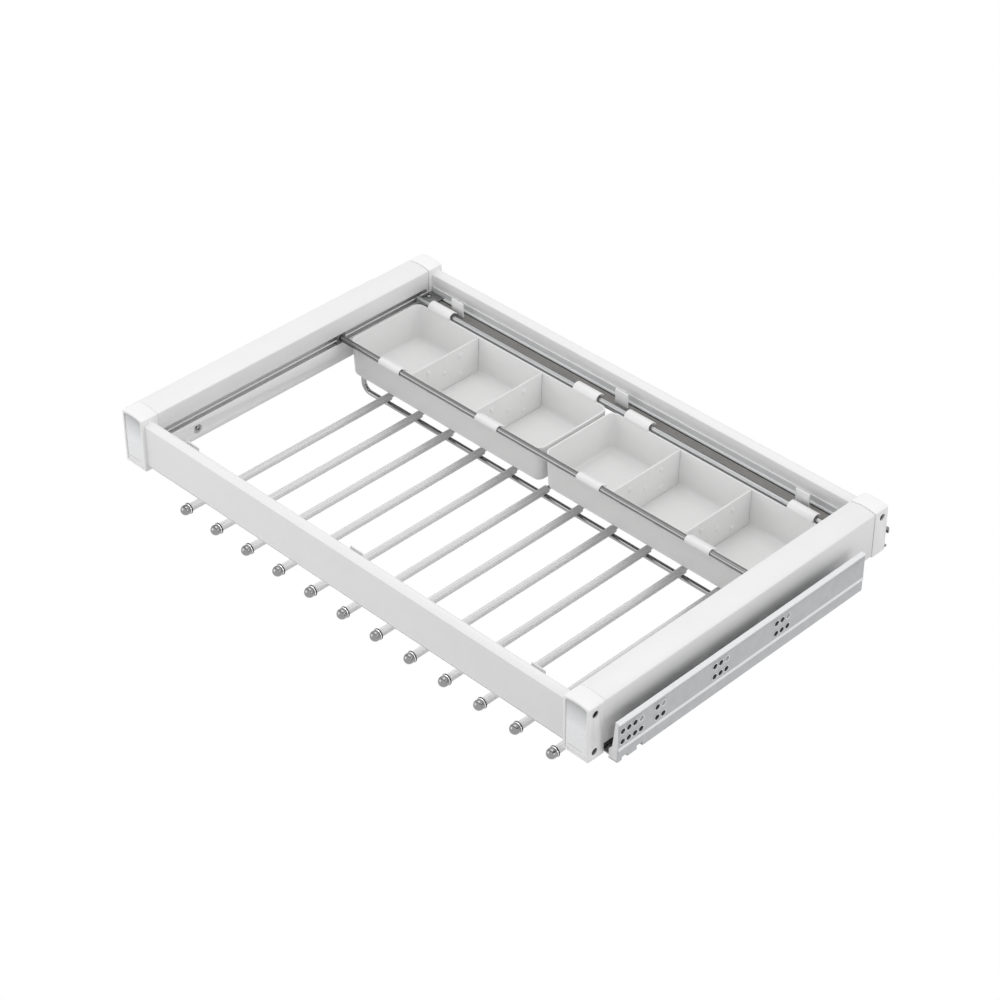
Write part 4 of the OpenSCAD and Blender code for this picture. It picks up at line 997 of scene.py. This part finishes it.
def bent_wire(name, y, z, node):
    only(None)
    bpy.ops.mesh.primitive_circle_add(vertices=28, radius=WIRE_R * MM,
                                      location=at(0, y, z), rotation=(0, math.pi / 2, 0))
    obj = placed(name)
    bpy.ops.object.mode_set(mode="EDIT")
    bpy.ops.mesh.select_all(action="SELECT")
    run = (WIRE_X - WIRE_BEND) * MM
    bpy.ops.mesh.extrude_region_move(TRANSFORM_OT_translate={"value": (run, 0, 0)})
    bpy.ops.mesh.spin(steps=10, angle=math.pi / 2, axis=(0, 1, 0),
                      center=at(WIRE_X - WIRE_BEND, y, z + WIRE_BEND))
    rise = (FEET_Z - z - WIRE_BEND) * MM
    bpy.ops.mesh.extrude_region_move(TRANSFORM_OT_translate={"value": (0, 0, rise)})
    bpy.ops.mesh.edge_face_add()
    bpy.ops.object.mode_set(mode="OBJECT")
    obj = joined(name, [obj, copy_of(obj, "half", mirrored=True)])
    bpy.ops.object.mode_set(mode="EDIT")
    bpy.ops.mesh.select_all(action="SELECT")
    bpy.ops.mesh.remove_doubles(threshold=1e-6)
    outward()
    print(name, "reaches", [round(c / MM, 1) for c in obj.dimensions], "mm")
    return dress(smooth(obj), "rack", "chrome", node)


for end, (y, z) in WIRES.items():
    bent_wire(end + "_bearer", y, z, end + "_cross_wire")

# %% [markdown]
# ## Screws
# All screws are pan heads with a cross recess. One head is turned, its recess is cut with
# two crossed bars, one after the other, and copies are turned to where each screw points.

# %% Turn a screw and set the copies
def screw(name, r, head_r, head_h, length):
    """A screw that points down from Z = 0, with its head above, at the origin."""
    dome = [(0, r), (0.01, head_r), (head_h * 0.35, head_r), (head_h * 0.8, head_r * 0.72),
            (head_h, head_r * 0.3), (head_h, 0)]
    obj = turned(name, [(-length, 0), (-length, r * 0.6), (-length + r, r)] + dome,
                 Vector(), (0, 0, 1), 28)
    long, narrow = head_r * 1.1, head_r * 0.26
    for wide, deep in ((long, narrow), (narrow, long)):
        only(None)
        bpy.ops.mesh.primitive_cube_add(size=1, location=(0, 0, head_h * MM))
        bpy.context.object.scale = (wide * MM, deep * MM, head_h * 1.2 * MM)
        drill(obj, [placed("bar")])
    return smooth(obj)


def set_screw(master, place, pointing):
    """A copy of a screw with its seat at a place, pointing in a direction."""
    twin = copy_of(master, "screw")
    turn = Vector((0, 0, -1)).rotation_difference(Vector(pointing)).to_matrix().to_4x4()
    twin.data.transform(turn)
    twin.data.transform(turn.Translation(place))
    return twin


corner = screw("corner", 2, 3.5, 2.6, 24)
small = screw("small", 1.7, 3.4, 1.8, 5)
corners, smalls = [], []
for sign in (-1, 1):
    for y, z in ((HOLE_Y, SCREW_HIGH), (HOLE_Y, SCREW_LOW), (Y_END - HOLE_Y, SCREW_HIGH)):
        corners.append(set_screw(corner, at(sign * SEAT_X, y, z), (-sign, 0, 0)))
    for z in PORT_HEIGHTS:
        corners.append(set_screw(corner, at(sign * PORT_X, 4.9, z), (0, 1, 0)))
        corners.append(set_screw(corner, at(sign * PORT_X, Y_END - 5.2, z), (0, -1, 0)))
    smalls.append(set_screw(small, at(sign * X_IN, POCKET_Y, -50.2), (sign, 0, 0)))
    smalls.append(set_screw(small, at(sign * (X_OUT - 6.5), Y_END + 1.5, -54), (0, -1, 0)))
    smalls.append(set_screw(small, at(sign * (X_IN - 6.3), 459.2, -31.6), (0, 0, -1)))
    for y, _ in WIRES.values():
        smalls.append(set_screw(small, at(sign * WIRE_X, y - 17.6, FEET_Z), (0, 0, 1)))
bpy.data.objects.remove(corner)
bpy.data.objects.remove(small)
print("screws:", len(corners), "in the corners and", len(smalls), "small ones")
dress(joined("corner_screw_set", corners), "rack", "screw_steel", "corner_screws")
dress(joined("small_screw_set", smalls), "rack", "screw_steel", "rail_screws")

# %% [markdown]
# ## Brackets and latches
# A bracket is a folded steel plate under a screw, and its ear stands in the side rail's
# groove. The latches behind the rear blocks are bent tabs that stop the rack at the back.
# A bracket is drawn from above and pulled out by the sheet's thickness, a latch is drawn
# from the side and pulled out by its width, and the folds are softened.

# %% Fold the brackets and the latches
BRACKET_Y0, BRACKET_Y1 = 449.2, 469.2
EAR_X, EAR_Y1 = X_IN + 4.4, 464.2
bracket_plate = pressed("plate", [
    (X_IN - 23.2, BRACKET_Y0), (X_IN - 0.2, BRACKET_Y0), (EAR_X, BRACKET_Y0), (EAR_X, EAR_Y1),
    (X_IN - 0.2, EAR_Y1), (X_IN - 0.2, BRACKET_Y1), (X_IN - 23.2, BRACKET_Y1)],
    "z", -33.95, 2.35)
ear = pressed("ear", rectangle(X_IN + 2, BRACKET_Y0, EAR_X, EAR_Y1), "z", -37.8, 4)
bracket = soften(joined("steel_bracket_right", [bracket_plate, ear]), 0.5, segments=3)
dress_pair(bracket, "steel_bracket_left", "rack", "dark_steel", "corner_bracket")

latch_side = [(Y_END, -35), (Y_END, -60.5)] + arc(Y_END + 4.6, -60, 1.8, 250, 360, 5) + [
    (Y_END + 5, -60), (Y_END + 1.7, -58.8), (Y_END + 1.7, -37.2), (Y_END + 5.7, -37.2),
    (Y_END + 5.7, -43.5), (Y_END + 8, -43.5)] + arc(Y_END + 5.8, -37.2, 2.2, 0, 90, 6)
latch = soften(pressed("tab_right", latch_side, "x", X_OUT - 11.5, 10), 0.3)
tabs = joined("latch_tabs", [latch, copy_of(latch, "tab_left", mirrored=True)])
dress(tabs, "rack", "screw_steel", "rear_latches")
print("brackets and latches folded")

# %% [markdown]
# ## Runners
# The runner is rolled from pale steel sheet. Its long flange shows beside the rail and
# lies on the cabinet wall, and its lower edge turns in under the rail. The profile is one
# outline, pulled out to the runner's length.

# %% Roll the cabinet profile
RUN_Y, RUN_L = 22.3, 400
RUN_FOOT = -72.2
W = X_WALL  # the wall's face, short for the many points that count from it

rolled = [
    (W, -19.1), (W, -21.2), (W - 0.7, -22.1), (W - 0.7, -49.8), (W, -53.4), (W, -55.6),
    (W - 0.3, -56.2), (W - 1, -56.5), (W - 1, -70.8)] + arc(W - 2.4, -70.8, 1.4, 0, -90, 4) + [
    (351.5, RUN_FOOT), (351.5, -64.6), (352.9, -64.6), (352.9, -70.8), (397.2, -70.8),
    (397.6, -70.4), (397.6, -58.4), (398.6, -55), (398.6, -20.2), (394.1, -20.2), (394.1, -18.8),
    (W - 0.3, -18.8)]
profile = pressed("rolled_runner_right", rolled, "y", RUN_Y, RUN_L)
print("runner:", RUN_L, "mm long")

# %% [markdown]
# ## The runner's holes
# The flange is punched with groups of round holes in two rows, and the last place of every
# upper row is only a dimple. A punch raises a thin rim and turns the sheet in behind it, and
# that collar is painted dark as shade, which makes a hole look deep; the rims and dimples get
# a painted highlight. The holes are drilled together with two notches in the foot and its
# shortened front end. Rims, collars and dimples are turned once and copied to every place.

# %% Punch the holes and set their rims
UPPER, LOWER = -31, -45.1
PUNCH_R, HOLE_PITCH = 3.5, 9.4
GROUPS = ((6.1, 4), (58.9, 2), (149.4, 3), (249.8, 3))  # first column, and how many
SHEET = W - 0.7  # the flange's outer face
NOTCHES = ((28.6, -67.3), (51.5, -66.2))  # where they start, and how high they reach
NOTCH_L = 9.4
RIM_SHAPE = [(-0.3, PUNCH_R + 1), (0.45, PUNCH_R + 0.8), (0.62, PUNCH_R + 0.4),
             (0.4, PUNCH_R), (-1, PUNCH_R - 0.05)]
COLLAR_SHAPE = [(-0.9, PUNCH_R - 0.02), (-6, PUNCH_R - 0.3), (-6, PUNCH_R + 0.5),
                (-1.5, PUNCH_R + 0.5)]
DIMPLE_SHAPE = [(-0.2, 4.4), (0.5, 4.1), (0.62, 3.7), (0.4, 3.2), (-1.3, 2.6), (-1.3, 0)]

holes, dimples = [], []
for group, columns in GROUPS:
    for i in range(columns):
        y = RUN_Y + group + HOLE_PITCH * i
        blind = i == columns - 1
        (dimples if blind else holes).append((y, UPPER))
        holes.append((y, LOWER))
punches = [cutter("punch", at(W, y, z), "x", PUNCH_R, 8, 24) for y, z in holes + dimples]
notches = [box_cutter("notch", (388, y, -74), (W + 1, y + NOTCH_L, high))
           for y, high in NOTCHES]
short_end = box_cutter("end", (340, 20, -80), (386, 26, -60))
smooth(drill(profile, punches + notches + [short_end]))


def one_for_each(name, shape, places):
    """Turns a shape at the first place and copies it to all of them."""
    first_y, first_z = places[0]
    model = turned(name, shape, at(SHEET, first_y, first_z), (1, 0, 0), 24)
    copies = [copy_of(model, name, (0, y - first_y, z - first_z)) for y, z in places]
    bpy.data.objects.remove(model)
    return copies


rims = one_for_each("rim", RIM_SHAPE, holes)
dips = one_for_each("dimple", DIMPLE_SHAPE, dimples)
collars = joined("hole_collars_right", one_for_each("collar", COLLAR_SHAPE, holes))
runner = joined("rolled_runner_right", [profile] + rims + dips)
dress_pair(runner, "rolled_runner_left", "cabinet_side", "runner_steel", "cabinet_profile")
dress_pair(collars, "hole_collars_left", "cabinet_side", "painted_shade_steel", "cabinet_profile")
# painted highlight: the flange's top edge, which faces up, is painted nearly white
paint_tone_and_light_beyond("runner_steel", "Z", at(0, 0, -20.8).z, 238, 0.05)  # the top edge
# painted highlight: the outermost faces, the flange's outer edge, the ridge, the hole rims and
# the dimples, are painted white
paint_tone_and_light_beyond("runner_steel", "X", (X_WALL - 0.32) * MM, 250, 0)  # what meets the wall
print("holes:", len(holes), "dimples:", len(dimples))

# %% [markdown]
# ## Runner caps
# A soft white cap closes the front end of each runner. It is a thin plate with a slanted
# inner edge, and a block behind it fills the turned-in foot. Two pressed outlines make it.

# %% Mould the runners' front caps
cap_block = pressed("soft_cap_right", rectangle(386.2, -70.6, W - 2.6, -59.2), "y",
                    RUN_Y + 1, 9)
cap_plate = pressed("plate", [
    (386, -70.8), (W - 2.4, -70.8), (W - 2.4, -56), (W - 1.4, -56), (W - 1.4, -20.2),
    (W - 5.9, -20.2), (390.4, -54.6), (386, -59)], "y", RUN_Y, 2.4)
cap = joined("soft_cap_right", [soften(cap_block, 0.5, segments=3),
                                soften(cap_plate, 0.4, segments=3)])
dress_pair(cap, "soft_cap_left", "cabinet_side", "cap_plastic", "runner_cap")
print("cap faces:", len(cap.data.polygons))

# %% [markdown]
# ## What stays as it was packed
# Some small solids are hidden, or are right as they are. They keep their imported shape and
# get a rounded edge and a finish. Nothing may leave the workshop in bare grey.

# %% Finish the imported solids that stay
KEPT = {
    "wire_feet": "screw_steel", "tray_bar_plugs": "dark_plastic",
    "runner_rivets": "screw_steel",
    # the runner's middle and drawer profiles are painted dark as the shade inside its channel
    "middle_profile_left": "painted_shade_steel", "middle_profile_right": "painted_shade_steel",
    "drawer_profile_left": "painted_shade_steel", "drawer_profile_right": "painted_shade_steel",
    "lower_cage_left": "dark_plastic", "lower_cage_right": "dark_plastic",
    "upper_cage_left": "dark_plastic", "upper_cage_right": "dark_plastic",
}
for name, finish in KEPT.items():
    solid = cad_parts[name]
    solid.data.materials.clear()
    solid.data.materials.append(FINISHES[finish])
    edge = solid.modifiers.new("Edge", "BEVEL")
    edge.width, edge.segments = 0.25 * MM, 2
    edge.limit_method, edge.angle_limit = "ANGLE", math.radians(40)
print("packed solids kept:", len(KEPT))

# %% [markdown]
# ## The white page
# The rack floats a little above a white page in the picture, as catalogue objects do. The
# floor takes its shadow but reads as pure white to the camera, in reflections and through
# clear parts, and so does the air around it. To the soft light they are a plain grey, or
# they would light the rack from all sides and wash it out.

# %% Lay the floor and fill the air
FLOOR_GREY = 192
AIR_GREY = (0.71, 0.71, 0.71, 1)
WHITE = (1, 1, 1, 1)


def white_rays(tree):
    """A node that gives one for camera, glossy and transmission rays, and else zero."""
    rays = node_of(tree, "ShaderNodeLightPath")
    either = node_of(tree, "ShaderNodeMath", operation="MAXIMUM")
    any_ray = node_of(tree, "ShaderNodeMath", operation="MAXIMUM")
    link(tree, rays, "Is Camera Ray", either, 0)
    link(tree, rays, "Is Glossy Ray", either, 1)
    link(tree, either, 0, any_ray, 0)
    link(tree, rays, "Is Transmission Ray", any_ray, 1)
    return any_ray


only(None)
bpy.ops.mesh.primitive_plane_add(size=14, location=(0, 0, cad_low.z - MM))
floor = bpy.context.object
floor.name = "pale_floor"
page = bpy.data.materials.new("white_page")
page.use_nodes = True
tree = page.node_tree
paper = tree.nodes["Principled BSDF"]
paper.inputs["Base Color"].default_value = shade(FLOOR_GREY)
paper.inputs["Roughness"].default_value = 0.9
white = node_of(tree, "ShaderNodeEmission", Color=WHITE, Strength=1.0)
mix = node_of(tree, "ShaderNodeMixShader")
link(tree, white_rays(tree), 0, mix, 0)
link(tree, paper, 0, mix, 1)
link(tree, white, 0, mix, 2)
link(tree, mix, 0, tree.nodes["Material Output"], "Surface")
floor.data.materials.append(page)

world = bpy.data.worlds.new("studio_air")
bpy.context.scene.world = world
world.use_nodes = True
air = world.node_tree
sky = air.nodes["Background"]
sky.inputs["Strength"].default_value = 1.0
mix = node_of(air, "ShaderNodeMix", data_type="RGBA")
mix.inputs[COLOUR_A].default_value = AIR_GREY
mix.inputs[COLOUR_B].default_value = WHITE
link(air, white_rays(air), 0, mix, 0)
link(air, mix, COLOUR_OUT, sky, "Color")
print("floor at", round(floor.location.z, 4))

# %% [markdown]
# ## Lamps
# The light is plain: a large soft lamp overhead, a weaker one at the front left and one at
# the right, which lifts the runner's side. They are wide, so that shadows stay soft, and
# weak enough for white paint to keep its greys. The view stays plain as well, so a colour
# shows about as it was mixed.

# %% Hang the lamps
def lamp(name, place, target, size, power):
    only(None)
    aim = Vector(target) - Vector(place)
    bpy.ops.object.light_add(type="AREA", location=place,
                             rotation=aim.to_track_quat("-Z", "Y").to_euler())
    light = bpy.context.object
    light.name = name
    light.data.shape = "RECTANGLE"
    light.data.size, light.data.size_y = size
    light.data.energy = power


lamp("overhead_lamp", (-0.3, 0.3, 2.6), (0, 0, 0), (1.9, 1.9), 16.3)
lamp("front_lamp", (-1.5, -2.0, 0.8), (-0.1, 0, 0), (1.8, 1.4), 10.6)
lamp("side_lamp", (2.8, 0.2, 1.0), (0, 0, 0), (1.8, 1.4), 9.8)
bpy.context.scene.view_settings.view_transform = "Standard"
print("lamps hung")
